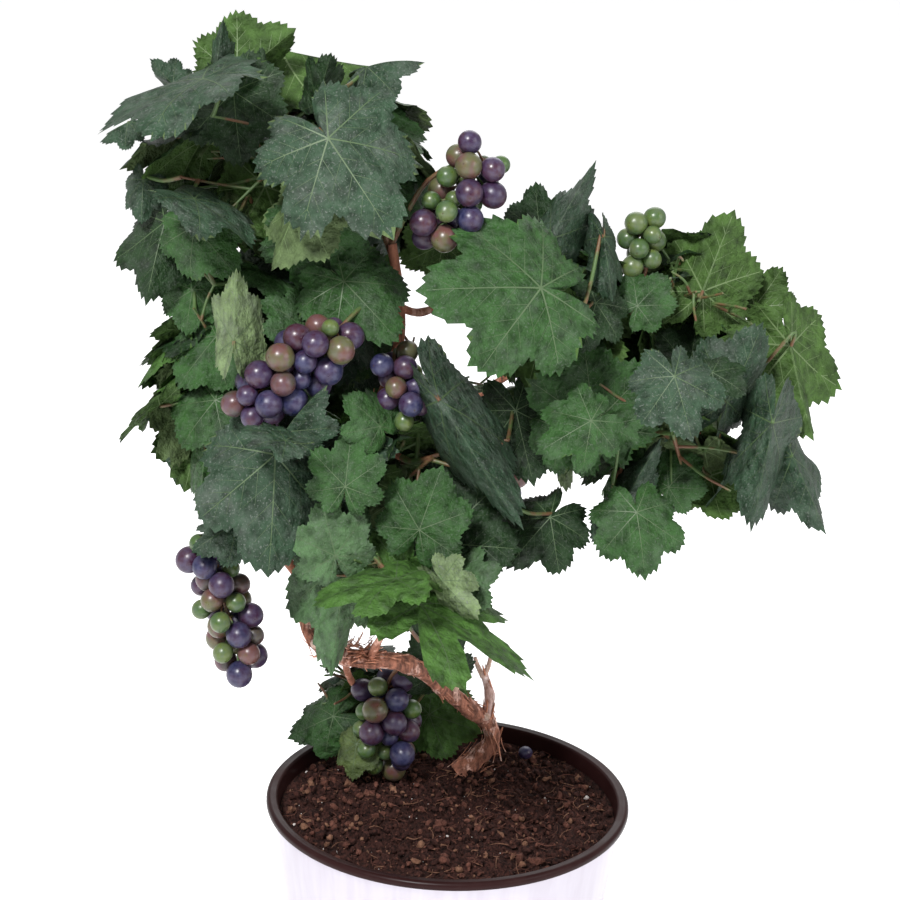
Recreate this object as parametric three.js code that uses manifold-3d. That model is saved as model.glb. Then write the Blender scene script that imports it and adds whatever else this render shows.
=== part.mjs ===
// A small fruiting grapevine in a brown pot with a silver sleeve.
// Millimetres, +Z up. The origin is the middle of the underside, and -Y is the side that is seen first.

import * as THREE from 'three';
import { mergeVertices } from 'three/addons/utils/BufferGeometryUtils.js';
import Module from 'manifold-3d';

const wasm = await Module();
wasm.setup();

// Pot and sleeve
const potHeight = 178;
const rimRadius = 100;
const rimDepth = 4.5;
const rimRound = 1.8;
const sleeveTopRadius = 95.9;
const sleeveTaper = 0.121;
const sleeveWall = 1;
const sleeveFloor = 1.2;
const potWall = 1.3;
const potFloor = 2.5;
const clearance = 0.3;
const potSides = 32;
const limbSides = 6;

// Soil
const soilEdge = 169;
const soilCrown = 171;
const trunkFoot = 169.5;

// Foliage
const leafThickness = 1.5;
const petioleRadius = 0.8;
const petioleRootRadius = 0.5;
const stalkCorners = [0, 120, 240];
const stemRadius = 1.9;
const shootRadius = 1.3;
const shootReach = 0.5;
const spaceLimit = 1.12;
const leafSpacing = 8;
const limbSpacing = 3;
const berrySpacing = 4;
const stalkRadius = 1.2;
const coreShare = 0.85;
const solidBerries = 0.42;
const edgeDroop = THREE.MathUtils.degToRad(20);
const attempts = 24;
const smallestStep = 0.001;
const goldenAngle = Math.PI * (3 - Math.sqrt(5));
const viewPoint = new THREE.Vector3(-5, -953, 663);
const light = new THREE.Vector3(0, -0.85, 0.53);
const up = new THREE.Vector3(0, 0, 1);

// Outline of a leaf: degrees from the midrib, and length from the vein junction as a share of the midrib
const leafOutline = [
  [0, 1], [48, 0.86], [98, 0.68], [146, 0.58], [180, 0.1], [214, 0.58], [262, 0.68], [312, 0.86],
];

const colours = {
  bark: 0x8a5a44, leaf: 0x3f6b3f, fruit: 0x4b3f63, pot: 0x3a241c, sleeve: 0xe4e4ea, soil: 0x3b261c,
};

// Woody limbs, each one tapering piece: a route, and the radius at its foot and its tip
const limbs = [
  { name: 'trunk', route: [[5, 46, 162], [9, 46, 169], [17, 46, 178], [25, 45, 190], [21, 44, 203]],
    radii: [5.2, 4.6], flare: 3.2 },
  { name: 'spur', route: [[21, 44, 202], [22, 42, 219], [18, 39, 234]], radii: [3.4, 1.9] },
  { name: 'arm_low', route: [[21, 44, 201], [0, 23, 227], [-15, 6, 247], [-29, -6, 258], [-42, -12, 261]],
    radii: [4.6, 4.8] },
  { name: 'arm_bend', route: [[-41, -12, 261], [-55, -14, 263], [-69, -12, 267], [-77, -6, 275],
    [-80, -2, 289]],
    radii: [4.8, 4.1] },
  { name: 'arm_rise', route: [[-79, -3, 287], [-78, 3, 318], [-65, 5, 350], [-50, 4, 384], [-39, 2, 409]],
    radii: [4, 3.2] },
  { name: 'cane_top', route: [[-40, 2, 407], [-33, 0, 434], [-34, -1, 460], [-38, 0, 484]],
    radii: [3, 2.6] },
  { name: 'cane_top_back', route: [[-34, -1, 460], [-38, 24, 472], [-46, 44, 486]], radii: [2.3, 1.7] },
  { name: 'cane_left', route: [[-79, -1, 296], [-97, 8, 320], [-108, 14, 352], [-110, 14, 384]],
    radii: [2.7, 1.9] },
  { name: 'cane_left_high', route: [[-72, 5, 336], [-84, 10, 372], [-84, 6, 408], [-80, -4, 430]],
    radii: [2.4, 1.7] },
  { name: 'cane_centre', route: [[-54, 4, 376], [-42, -8, 378], [-30, -16, 376]], radii: [2.3, 1.8] },
  { name: 'cane_back', route: [[-68, 5, 343], [-54, 26, 366], [-38, 44, 384]], radii: [2.4, 1.8] },
  { name: 'cane_upper', route: [[-34, 0, 452], [-22, 10, 447], [0, 15, 456], [24, 12, 468]],
    radii: [2.2, 1.7] },
  { name: 'cane_far', route: [[-76, 4, 325], [-48, 24, 346], [0, 34, 390], [52, 34, 426], [92, 30, 448]],
    radii: [2.6, 1.7] },
  { name: 'cane_right', route: [[-60, 5, 362], [-30, 14, 364], [12, 18, 372], [52, 10, 382], [76, 0, 388]],
    radii: [2.6, 1.8] },
  { name: 'cane_right_back', route: [[-66, 6, 348], [-30, 40, 356], [20, 58, 378], [62, 64, 398]],
    radii: [2.4, 1.7] },
  { name: 'shoot_low', route: [[-44, -13, 262], [-40, -26, 276], [-34, -38, 292]], radii: [2.2, 1.7] },
  { name: 'shoot_low_back', route: [[-55, -13, 263], [-58, 6, 250], [-56, 26, 232], [-50, 42, 216]],
    radii: [2.2, 1.6] },
];

// Bunches of berries: where the stalk leaves its limb, a point on its way, the bunch's top and its bottom
const bunches = [
  { name: 'bunch_left', route: [[-108, 14, 352], [-122, -16, 350], [-130, -26, 332]],
    bottom: [-110, -30, 262], count: 34, girth: 16, taper: 0.45, berry: [5, 7] },
  { name: 'bunch_centre_left', route: [[-35, 0, 447], [-48, -34, 460], [-62, -52, 450]],
    bottom: [-104, -56, 412], count: 31, girth: 19, taper: 0.35, berry: [5, 7.2] },
  { name: 'bunch_centre', route: [[-34, 0, 424], [-34, -22, 434], [-34, -34, 430]],
    bottom: [-26, -38, 408], count: 15, girth: 14, taper: 0.3, berry: [4.6, 6.4] },
  { name: 'bunch_top', route: [[-38, 0, 484], [-20, -18, 520], [6, -26, 532]],
    bottom: [-14, -34, 496], count: 26, girth: 20, taper: 0.25, berry: [4.4, 7] },
  { name: 'bunch_green', route: [[90, 30, 447], [94, 20, 478], [90, 14, 497]],
    bottom: [90, 12, 478], count: 10, girth: 11, taper: 0.2, berry: [4.6, 6] },
  { name: 'bunch_low', route: [[-18, 4, 250], [-30, 20, 242], [-36, 23, 228]],
    bottom: [-34, 24, 186], count: 32, girth: 18, taper: 0.35, berry: [4.8, 7.2] },
  { name: 'bunch_back_high', route: [[18, 57, 377], [20, 84, 388], [22, 92, 378]],
    bottom: [26, 94, 322], count: 28, girth: 16, taper: 0.4, berry: [5, 7] },
  { name: 'bunch_back_left', route: [[-84, 10, 372], [-104, 56, 398], [-108, 72, 388]],
    bottom: [-110, 76, 346], count: 22, girth: 15, taper: 0.4, berry: [5, 6.8] },
];

// Masses of foliage. A shown leaf is its vein junction and its tip, then degrees of turn about the midrib,
// of bend along it and of fold across it. The other leaves of a mass follow from its centre and reach.
const masses = [
  {
    name: 'leaves_crown_front', stemFrom: 'cane_top', centre: [-92, -14, 528],
    reach: [86, 66, 68], shoots: 4, leaves: 9,
    shown: [
      [[-67, -58, 544], [-36, -72, 502], 0, 12, -6], [[-117, -10, 559], [-112, -22, 525], 12, 10, 10],
      [[-129, -34, 567], [-178, -42, 541], 52, 14, 6], [[-149, 6, 560], [-161, 10, 571], -35, 20, -35],
      [[-171, 0, 541], [-184, -6, 532], 30, 20, -30], [[-117, 2, 565], [-90, 10, 588], 225, -10, 40],
      [[-99, 36, 576], [-45, 30, 570], 130, 10, 40], [[-53, 12, 571], [-26, 4, 577], -35, 15, -30],
      [[-76, -10, 555], [-69, -20, 579], 20, 20, -50], [[-132, -44, 511], [-102, -56, 493], -52, 14, 6],
      [[-80, -50, 513], [-93, -56, 481], 200, -10, 40], [[-162, -10, 514], [-162, -18, 494], 0, 20, -30],
      [[-103, -4, 564], [-104, 0, 580], 10, 15, -50], [[-126, -8, 566], [-123, -4, 593], 0, 15, -60],
    ],
  },
  {
    name: 'leaves_crown_back', stemFrom: 'cane_top_back', centre: [-82, 60, 512],
    reach: [80, 52, 74], shoots: 4, leaves: 16,
    shown: [],
  },
  {
    name: 'leaves_left', stemFrom: 'cane_left', centre: [-122, -6, 420],
    reach: [52, 66, 84], shoots: 4, leaves: 8,
    shown: [
      [[-151, -14, 494], [-159, -26, 456], 0, 16, -32], [[-134, -28, 495], [-113, -36, 473], 10, 10, -8],
      [[-111, -62, 446], [-111, -52, 478], 0, -10, -50], [[-138, -10, 459], [-141, -14, 437], 0, 10, -8],
      [[-125, -16, 437], [-144, -20, 411], 15, 12, -8], [[-125, -22, 405], [-142, -30, 382], 10, 14, -8],
      [[-130, -24, 379], [-132, -34, 346], 10, 14, -45], [[-91, -58, 388], [-92, -78, 332], -12, 22, -24],
      [[-86, -62, 401], [-67, -66, 426], -20, 20, -50], [[-112, -40, 345], [-133, -52, 334], 10, 24, -30],
      [[-84, -80, 402], [-106, -76, 406], 50, 20, 6],
    ],
  },
  {
    name: 'leaves_left_back', stemFrom: 'cane_left_high', centre: [-84, 30, 440],
    reach: [64, 62, 52], shoots: 4, leaves: 12,
    shown: [
      [[-60, -34, 471], [-33, -46, 445], -5, 16, -8], [[-81, -34, 448], [-100, -34, 461], 15, 14, 10],
    ],
  },
  {
    name: 'leaves_centre', stemFrom: 'cane_centre', centre: [-14, -28, 380],
    reach: [68, 58, 54], shoots: 4, leaves: 10,
    shown: [
      [[-11, -60, 419], [30, -78, 363], 12, 16, -62], [[28, -16, 403], [38, -26, 368], 10, 10, -10],
      [[-56, -62, 374], [-54, -52, 399], 0, 10, 14], [[-19, -54, 350], [-9, -44, 379], 0, 14, 12],
      [[-9, -28, 334], [24, -22, 370], -10, 10, 10], [[-40, -50, 402], [-57, -54, 418], 10, 16, -10],
      [[48, -22, 348], [27, -34, 325], 10, 14, -12],
    ],
  },
  {
    name: 'leaves_back', stemFrom: 'cane_back', centre: [-34, 62, 388],
    reach: [84, 50, 78], shoots: 4, leaves: 20,
    shown: [],
  },
  {
    name: 'leaves_upper', stemFrom: 'cane_upper', centre: [38, -12, 466],
    reach: [66, 62, 60], shoots: 4, leaves: 14,
    shown: [
      [[36, -58, 476], [-21, -72, 476], 0, 14, -6], [[41, -26, 494], [62, -8, 530], 0, 10, -60],
      [[37, 6, 492], [34, 14, 515], -20, 10, 16], [[68, -16, 494], [73, -28, 465], 0, 10, -58],
      [[66, -14, 460], [60, -26, 438], 0, 18, -10], [[-12, 16, 482], [-33, 8, 472], 180, 10, 0],
    ],
  },
  {
    name: 'leaves_far', stemFrom: 'cane_far', centre: [126, 26, 458],
    reach: [52, 50, 48], shoots: 4, leaves: 12,
    shown: [
      [[123, 14, 462], [138, 30, 500], 180, -10, 42], [[154, 36, 450], [168, 40, 470], 170, 16, 8],
      [[88, -4, 457], [103, 4, 472], -10, 10, 8],
    ],
  },
  {
    name: 'leaves_right', stemFrom: 'cane_right', centre: [108, -24, 396],
    reach: [80, 58, 62], shoots: 5, leaves: 8,
    shown: [
      [[169, 4, 437], [182, -8, 392], 168, 14, 40], [[155, -42, 408], [147, -54, 357], 0, 10, -58],
      [[103, -56, 434], [112, -68, 406], 0, 18, -8], [[119, 14, 419], [124, 34, 441], 0, -20, 30],
      [[134, -26, 414], [150, -18, 452], 20, 10, -35], [[67, -28, 400], [61, -14, 442], 0, 12, 12],
      [[63, -66, 413], [38, -72, 398], 0, 18, -12], [[75, -42, 404], [92, -44, 410], -10, 16, -14],
      [[50, -40, 401], [67, -50, 381], 10, 16, -16], [[81, -40, 358], [101, -28, 393], 0, 10, -55],
      [[89, -54, 363], [94, -68, 334], 0, 16, -10], [[109, -14, 364], [124, -12, 381], -10, 14, 0],
      [[125, -30, 430], [141, -38, 422], 0, 20, -10], [[170, -22, 385], [189, -30, 348], 0, 10, -52],
    ],
  },
  {
    name: 'leaves_right_back', stemFrom: 'cane_right_back', centre: [84, 66, 412],
    reach: [84, 48, 70], shoots: 4, leaves: 16,
    shown: [],
  },
  {
    name: 'leaves_low', stemFrom: 'shoot_low', centre: [-26, -50, 320],
    reach: [66, 46, 52], shoots: 4, leaves: 6,
    shown: [
      [[-60, -66, 339], [-68, -58, 365], 0, 12, 10], [[-56, -56, 333], [-61, -66, 275], -10, 16, -46],
      [[-29, -90, 337], [-68, -100, 328], 56, 14, 6], [[-26, -44, 324], [-43, -36, 342], -20, 10, 40],
      [[-17, -82, 321], [36, -94, 290], -52, 14, 6], [[-7, -82, 334], [11, -86, 316], 20, 16, -36],
      [[0, -54, 322], [22, -60, 334], -20, 14, -8], [[-27, -34, 311], [-41, -36, 287], 0, 14, -8],
    ],
  },
  {
    name: 'leaves_foot', stemFrom: 'shoot_low_back', centre: [-44, 48, 214],
    reach: [62, 36, 44], shoots: 4, leaves: 6,
    shown: [
      [[-12, 58, 198], [18, 52, 191], 0, 14, 0], [[-52, 20, 196], [-54, 12, 178], 20, 10, -8],
      [[-66, 34, 206], [-92, 40, 189], 10, 16, -20], [[-8, 20, 241], [-18, 14, 270], 0, 10, 0],
    ],
  },
];
const leafSize = [30, 47];

// Places where the sky shows through the crown, as seen from the view point: a point and a radius there
const skyGaps = [
  { at: [-26, 0, 466], radius: 12 },
  { at: [-10, 0, 434], radius: 20 },
  { at: [-113, 0, 558], radius: 7 },
  { at: [66, -30, 280], radius: 62 },
];

const fallenBerry = { at: [45, 62, 173.8], radius: 4 };

const vector = (point) => new THREE.Vector3(...point);
const mix = (from, to, share) => from + (to - from) * share;

// The same three whole numbers always give the same share between 0 and 1
function chance(seed, index, channel) {
  let bits = Math.imul(seed + 1, 0x9e3779b1) ^ Math.imul(index + 1, 0x85ebca6b);
  bits ^= Math.imul(channel + 1, 0xc2b2ae35);
  bits = Math.imul(bits ^ (bits >>> 15), 0x2c1b3c6d);
  bits = Math.imul(bits ^ (bits >>> 12), 0x297a2d39);
  return ((bits ^ (bits >>> 15)) >>> 0) / 4294967296;
}

// Points along a smooth curve through the given ones
function smoothRoute(points, stepsEach) {
  const route = [points[0].clone()];
  for (let i = 0; i + 1 < points.length; i += 1) {
    const before = points[Math.max(i - 1, 0)];
    const after = points[Math.min(i + 2, points.length - 1)];
    for (let step = 1; step <= stepsEach; step += 1) {
      const t = step / stepsEach;
      const point = new THREE.Vector3();
      for (const axis of ['x', 'y', 'z']) {
        point[axis] = throughPoints(before[axis], points[i][axis], points[i + 1][axis], after[axis], t);
      }
      route.push(point);
    }
  }
  return route;
}

function throughPoints(a, b, c, d, t) {
  const slopeIn = (c - a) / 2;
  const slopeOut = (d - b) / 2;
  const cubic = 2 * b - 2 * c + slopeIn + slopeOut;
  const square = 3 * c - 3 * b - 2 * slopeIn - slopeOut;
  return cubic * t ** 3 + square * t ** 2 + slopeIn * t + b;
}

// Solids
function solidOf(vertProperties, triVerts) {
  const mesh = new wasm.Mesh({
    numProp: 3, vertProperties: new Float32Array(vertProperties), triVerts: new Uint32Array(triVerts),
  });
  return new wasm.Manifold(mesh);
}

function solidFrom(geometry) {
  geometry.deleteAttribute('normal');
  geometry.deleteAttribute('uv');
  const merged = mergeVertices(geometry, 1e-4);
  return solidOf(merged.attributes.position.array, merged.index.array);
}

function joined(solids) {
  return wasm.Manifold.union(solids);
}

// A closed tube through the route, with rings of straight sides and a radius for each ring
function tube(route, radiusAt, sides) {
  const vertices = [];
  const faces = [];
  let across = null;
  route.forEach((point, ring) => {
    const next = route[Math.min(ring + 1, route.length - 1)];
    const last = route[Math.max(ring - 1, 0)];
    const along = next.clone().sub(last).normalize();
    across = across ?? (Math.abs(along.z) < 0.9 ? up.clone() : new THREE.Vector3(0, 1, 0));
    across = across.clone().addScaledVector(along, -across.dot(along)).normalize();
    const third = along.clone().cross(across);
    const radius = radiusAt(ring / (route.length - 1));
    for (let side = 0; side < sides; side += 1) {
      const angle = (2 * Math.PI * side) / sides;
      const corner = point.clone().addScaledVector(across, radius * Math.cos(angle));
      vertices.push(...corner.addScaledVector(third, radius * Math.sin(angle)).toArray());
    }
  });
  for (let ring = 0; ring + 1 < route.length; ring += 1) {
    for (let side = 0; side < sides; side += 1) {
      const a = ring * sides + side;
      const b = ring * sides + ((side + 1) % sides);
      faces.push(a, b, b + sides, a, b + sides, a + sides);
    }
  }
  const end = (route.length - 1) * sides;
  for (let side = 1; side + 1 < sides; side += 1) {
    faces.push(0, side + 1, side, end, end + side, end + side + 1);
  }
  return solidOf(vertices, faces);
}

function turned(profile, sides) {
  const points = profile.map(([radius, height]) => new THREE.Vector2(radius, height));
  const geometry = new THREE.LatheGeometry([...points, points[0]], sides);
  return solidFrom(geometry.rotateX(Math.PI / 2));
}

function ball(centre, radius) {
  return solidFrom(new THREE.IcosahedronGeometry(radius, 0).translate(...centre.toArray()));
}

// Limbs
function limbRadius(limb, share) {
  const foot = limb.flare ? limb.flare * Math.max(0, 1 - share * 3) : 0;
  return mix(limb.radii[0], limb.radii[1], share) + foot;
}

function limbSolid(limb, grow) {
  const route = smoothRoute(limb.route.map(vector), 2);
  return tube(route, (share) => limbRadius(limb, share) + grow, limbSides);
}

// Bunches: berries are spread round the axis, then pushed apart until they only touch
function berriesOf(bunch, seed) {
  const top = vector(bunch.route[bunch.route.length - 1]);
  const bottom = vector(bunch.bottom);
  const axis = bottom.clone().sub(top);
  const across = new THREE.Vector3(1, 0, 0).addScaledVector(axis, -axis.x / axis.lengthSq()).normalize();
  const third = axis.clone().normalize().cross(across);
  const berries = [];
  const count = Math.round(bunch.count * solidBerries);
  for (let i = 0; i < count; i += 1) {
    const share = (i + 0.5) / count;
    const angle = i * goldenAngle;
    const spread = bunch.girth * mix(1, bunch.taper, share) * (0.6 + 0.4 * chance(seed, i, 0));
    const centre = top.clone().addScaledVector(axis, share);
    centre.addScaledVector(across, spread * Math.cos(angle)).addScaledVector(third, spread * Math.sin(angle));
    const size = mix(bunch.berry[0], bunch.berry[1], Math.sqrt(chance(seed, i, 1)));
    const radius = size / Math.cbrt(solidBerries);
    berries.push({ centre, radius, share });
  }
  for (let round = 0; round < 30; round += 1) {
    for (const berry of berries) {
      const home = top.clone().addScaledVector(axis, berry.share);
      berry.centre.lerp(home, 0.03);
      for (const other of berries) {
        const gap = berry.centre.clone().sub(other.centre);
        const distance = gap.length();
        const wanted = (berry.radius + other.radius) * 0.97;
        if (other !== berry && distance < wanted) {
          berry.centre.addScaledVector(gap, (wanted - distance) / distance / 2);
          other.centre.addScaledVector(gap, -(wanted - distance) / distance / 2);
        }
      }
    }
  }
  return berries;
}

function bunchSolid(bunch, grow) {
  const bottom = vector(bunch.bottom);
  const top = vector(bunch.route[bunch.route.length - 1]);
  const coreRadius = (share) => bunch.girth * coreShare * mix(1, bunch.taper, share) + grow;
  const stalk = smoothRoute(bunch.route.map(vector), 2);
  const pieces = [tube(stalk, () => stalkRadius + grow, 3), tube([top, bottom], coreRadius, 5)];
  for (const berry of bunch.berries) {
    const home = top.clone().lerp(bottom, THREE.MathUtils.clamp(berry.share, 0.05, 0.95));
    pieces.push(ball(berry.centre, berry.radius + grow));
    if (berry.centre.distanceTo(home) > coreRadius(berry.share) + berry.radius * 0.6) {
      pieces.push(tube([home, berry.centre], () => 0.7 + grow, 3));
    }
  }
  return joined(pieces);
}

// Leaves
function leafFrame(leaf) {
  const chord = leaf.tip.clone().sub(leaf.junction);
  const along = chord.clone().normalize();
  const toward = leaf.face ?? light;
  const face = toward.clone().addScaledVector(along, -toward.dot(along)).normalize();
  face.applyAxisAngle(along, THREE.MathUtils.degToRad(leaf.turn));
  const half = THREE.MathUtils.degToRad(leaf.bend || 1) / 2;
  const start = along.clone().multiplyScalar(Math.cos(half)).addScaledVector(face, Math.sin(half));
  const normal = face.clone().multiplyScalar(Math.cos(half)).addScaledVector(along, -Math.sin(half));
  const length = (chord.length() * half) / Math.sin(half);
  const curve = (2 * half) / length;
  const fold = THREE.MathUtils.degToRad(leaf.fold);
  return { start, normal, side: normal.clone().cross(start), length, curve, fold };
}

// The place on the bent and folded blade that lies u along the midrib and v across it, lifted off it
function bladePoint(leaf, u, v, lift) {
  const { start, normal, side, length, curve, fold } = leaf.frame;
  const away = Math.abs(v);
  const droop = -edgeDroop / (0.8 * length);
  const angle = fold + droop * away;
  const run = (Math.sin(angle) - Math.sin(fold)) / droop;
  const rise = (Math.cos(fold) - Math.cos(angle)) / droop;
  const tilt = away < 1e-6 ? 0 : angle;
  const outward = Math.sign(v) * (run - lift * Math.sin(tilt));
  const height = rise + lift * Math.cos(tilt);
  const x = Math.sin(curve * u) / curve + height * Math.sin(curve * u);
  const z = -(1 - Math.cos(curve * u)) / curve + height * Math.cos(curve * u);
  return leaf.junction.clone().addScaledVector(start, x)
    .addScaledVector(side, outward).addScaledVector(normal, z);
}

function outlinePoint(leaf, corner, share, lift, grow) {
  const angle = THREE.MathUtils.degToRad(leafOutline[corner][0]);
  const reach = leafOutline[corner][1] * leaf.frame.length * share + grow;
  return bladePoint(leaf, reach * Math.cos(angle), reach * Math.sin(angle), lift);
}

function leafSamples(leaf) {
  const samples = [leaf.junction];
  for (let corner = 0; corner < leafOutline.length; corner += 1) {
    samples.push(outlinePoint(leaf, corner, 0.95, 0, 0), outlinePoint(leaf, corner, 0.5, 0, 0));
  }
  return samples;
}

function makeLeaf(junction, tip, turn, bend, fold, face) {
  const leaf = { junction, tip, turn, bend, fold, face };
  leaf.frame = leafFrame(leaf);
  leaf.samples = leafSamples(leaf);
  return leaf;
}

// A blade and its petiole in one piece: the underside runs into a three-sided stalk that ends in the twig
function leafSolid(leaf, root, grow) {
  const corners = leafOutline.length;
  const middle = leafThickness / 2 + grow;
  const edges = grow > 0 ? [grow, -grow] : [0];
  const vertices = [...bladePoint(leaf, 0, 0, middle).toArray()];
  for (const edge of edges) {
    for (let corner = 0; corner < corners; corner += 1) {
      vertices.push(...outlinePoint(leaf, corner, 1, edge, grow).toArray());
    }
  }
  const neck = vertices.length / 3;
  const slim = Math.cos(Math.min(leaf.frame.fold, 0));
  const route = petioleRoute(leaf, root, middle / slim);
  route.forEach((place, ring) => {
    const down = leaf.frame.normal.clone().negate();
    const along = ring === 0 ? down : root.clone().sub(route[ring - 1]).normalize();
    const turn = new THREE.Quaternion().setFromUnitVectors(down, along);
    const radius = (ring === 2 ? petioleRootRadius : petioleRadius) + grow;
    const breadth = ring === 0 ? slim : 1;
    for (const degrees of stalkCorners) {
      const angle = THREE.MathUtils.degToRad(degrees);
      const corner = leaf.frame.start.clone().multiplyScalar(Math.cos(angle));
      corner.addScaledVector(leaf.frame.side, breadth * Math.sin(angle)).multiplyScalar(radius);
      vertices.push(...corner.applyQuaternion(turn).add(place).toArray());
    }
  });
  const faces = [neck + 6, neck + 8, neck + 7];
  const below = (edges.length - 1) * corners;
  for (let corner = 0; corner < corners; corner += 1) {
    const a = 1 + corner;
    const b = 1 + ((corner + 1) % corners);
    faces.push(0, a, b);
    const near = neck + nearestStalkCorner(corner);
    const next = neck + nearestStalkCorner((corner + 1) % corners);
    faces.push(near, below + b, below + a);
    if (next !== near) {
      faces.push(near, next, below + b);
    }
    if (below) {
      faces.push(a, below + a, below + b, a, below + b, b);
    }
  }
  for (let corner = 0; corner < 6; corner += 1) {
    const a = neck + corner;
    const b = neck + (corner < 3 ? (corner + 1) % 3 : 3 + ((corner + 1) % 3));
    faces.push(a, a + 3, b + 3, a, b + 3, b);
  }
  return solidOf(vertices, faces);
}

// The petiole leaves the vein junction backwards, through the notch between the lower lobes
function petioleRoute(leaf, root, depth) {
  const { start, normal, length } = leaf.frame;
  const notch = leaf.junction.clone()
    .addScaledVector(start, -0.14 * length).addScaledVector(normal, -0.1 * length);
  return [bladePoint(leaf, 0, 0, -depth), notch, root];
}

function comesFromBehind(mass, leaf) {
  const back = nearestTwigPoint(mass, leaf.junction).sub(leaf.junction).normalize();
  return back.dot(leaf.frame.normal) < 0.2 && back.dot(leaf.frame.start) < 0.4;
}

function nearestStalkCorner(corner) {
  return Math.floor(((leafOutline[corner][0] + 60) % 360) / 120);
}

// Twigs: a stem from the bough's tip into the mass, and shoots that fan out from it
function twigsOf(mass, seed) {
  const centre = vector(mass.centre);
  const bough = limbs.find((limb) => limb.name === mass.stemFrom);
  const foot = vector(bough.route[bough.route.length - 1]);
  const before = vector(bough.route[bough.route.length - 2]);
  const onward = foot.clone().sub(before).normalize();
  const straightOn = foot.clone().addScaledVector(onward, foot.distanceTo(centre) / 3);
  const twigs = [{ route: [foot, straightOn, centre], radius: stemRadius }];
  for (let shoot = 0; shoot < mass.shoots; shoot += 1) {
    const height = 1 - (2 * (shoot + 0.5)) / mass.shoots;
    const angle = shoot * goldenAngle + 2 * Math.PI * chance(seed, shoot, 90);
    const flat = Math.sqrt(1 - height * height);
    const end = new THREE.Vector3(flat * Math.cos(angle), flat * Math.sin(angle), height);
    end.multiply(vector(mass.reach)).multiplyScalar(shootReach).add(centre);
    const root = straightOn.clone().lerp(centre, (shoot + 1) / mass.shoots);
    twigs.push({ route: [root, end], radius: shootRadius });
  }
  return twigs;
}

function nearestTwigPoint(mass, point) {
  const places = mass.twigs.slice(1).map(({ route: [root, end] }) => {
    const share = new THREE.Line3(root, end).closestPointToPointParameter(point, true);
    return root.clone().lerp(end, THREE.MathUtils.clamp(share, 0.3, 0.97));
  });
  return places.reduce((best, place) => (place.distanceTo(point) < best.distanceTo(point) ? place : best));
}

// Tests that a leaf of the rule has to pass
function shareOfReach(mass, point) {
  return point.clone().sub(vector(mass.centre)).divide(vector(mass.reach)).length();
}

function keepsToItsSpace(mass, leaf) {
  const inside = leaf.samples.every((point) => shareOfReach(mass, point) < spaceLimit);
  const own = shareOfReach(mass, leaf.junction);
  const nearest = masses.every((other) => shareOfReach(other, leaf.junction) >= own);
  const abovePot = leaf.samples.every((point) => point.z > potHeight + 5);
  return inside && nearest && abovePot;
}

function distanceToLine(point, from, to) {
  return new THREE.Line3(from, to).closestPointToPoint(point, true, new THREE.Vector3()).distanceTo(point);
}

function clearOfLimbs(leaf) {
  return limbs.every((limb) => leaf.samples.every((point) => limb.line.every((place, i) => (
    i === 0 || distanceToLine(point, limb.line[i - 1], place) > limb.radii[0] + limbSpacing))));
}

function clearOfBerries(leaf) {
  return bunches.every((bunch) => bunch.berries.every((berry) => (
    leaf.samples.every((point) => point.distanceTo(berry.centre) > berry.radius + berrySpacing))));
}

function clearOfLeaves(leaf, others) {
  return others.every((other) => other.samples.every((place) => (
    leaf.samples.every((point) => point.distanceTo(place) > leafSpacing))));
}

function leavesSkyOpen(leaf) {
  return skyGaps.every((gap) => {
    const at = vector(gap.at);
    const reach = viewPoint.distanceTo(at) * 1.5;
    const beyond = viewPoint.clone().addScaledVector(at.sub(viewPoint).normalize(), reach);
    return leaf.samples.every((point) => distanceToLine(point, viewPoint, beyond) > gap.radius);
  });
}

// A leaf of the rule doesn't hang in front of a shown leaf or a bunch
function hidesWhatShows(leaf, shownLeaves) {
  const inFront = (middle, radius) => leaf.samples.some((point) => (
    point.distanceTo(viewPoint) < middle.distanceTo(viewPoint)
      && distanceToLine(middle, viewPoint, point.clone().lerp(viewPoint, -1)) < radius));
  const overLeaf = shownLeaves.some((shown) => (
    inFront(shown.junction.clone().lerp(shown.tip, 0.3), shown.frame.length * 0.8)));
  const overBerry = bunches.some((bunch) => (
    bunch.berries.some((berry) => inFront(berry.centre, berry.radius))));
  return overLeaf || overBerry;
}

function leafByRule(mass, seed, index, attempt) {
  const share = (channel) => chance(seed, index, attempt * 16 + channel);
  const around = (channel) => share(channel) - 0.5;
  const shake = (channel) => new THREE.Vector3(around(channel), around(channel + 1), around(channel + 2));
  const height = 1 - (2 * (index + 0.5)) / mass.leaves;
  const angle = index * goldenAngle + seed + attempt * 1.7;
  const flat = Math.sqrt(1 - height * height);
  const outward = new THREE.Vector3(flat * Math.cos(angle), flat * Math.sin(angle), height);
  outward.addScaledVector(shake(0), 0.7).normalize();
  const junction = outward.clone().multiply(vector(mass.reach)).multiplyScalar(mix(0.25, 0.72, share(3)));
  junction.add(vector(mass.centre));
  const face = outward.clone().multiplyScalar(0.8).addScaledVector(up, 0.5).addScaledVector(shake(4), 0.7);
  face.normalize();
  const hang = outward.clone().multiplyScalar(0.5).addScaledVector(up, -0.6).addScaledVector(shake(7), 1.2);
  hang.addScaledVector(face, -hang.dot(face)).normalize();
  const size = mix(leafSize[0], leafSize[1], share(10));
  const tip = junction.clone().addScaledVector(hang, size);
  return makeLeaf(junction, tip, 0, mix(6, 26, share(11)), mix(-26, 12, share(12)), face);
}

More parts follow.
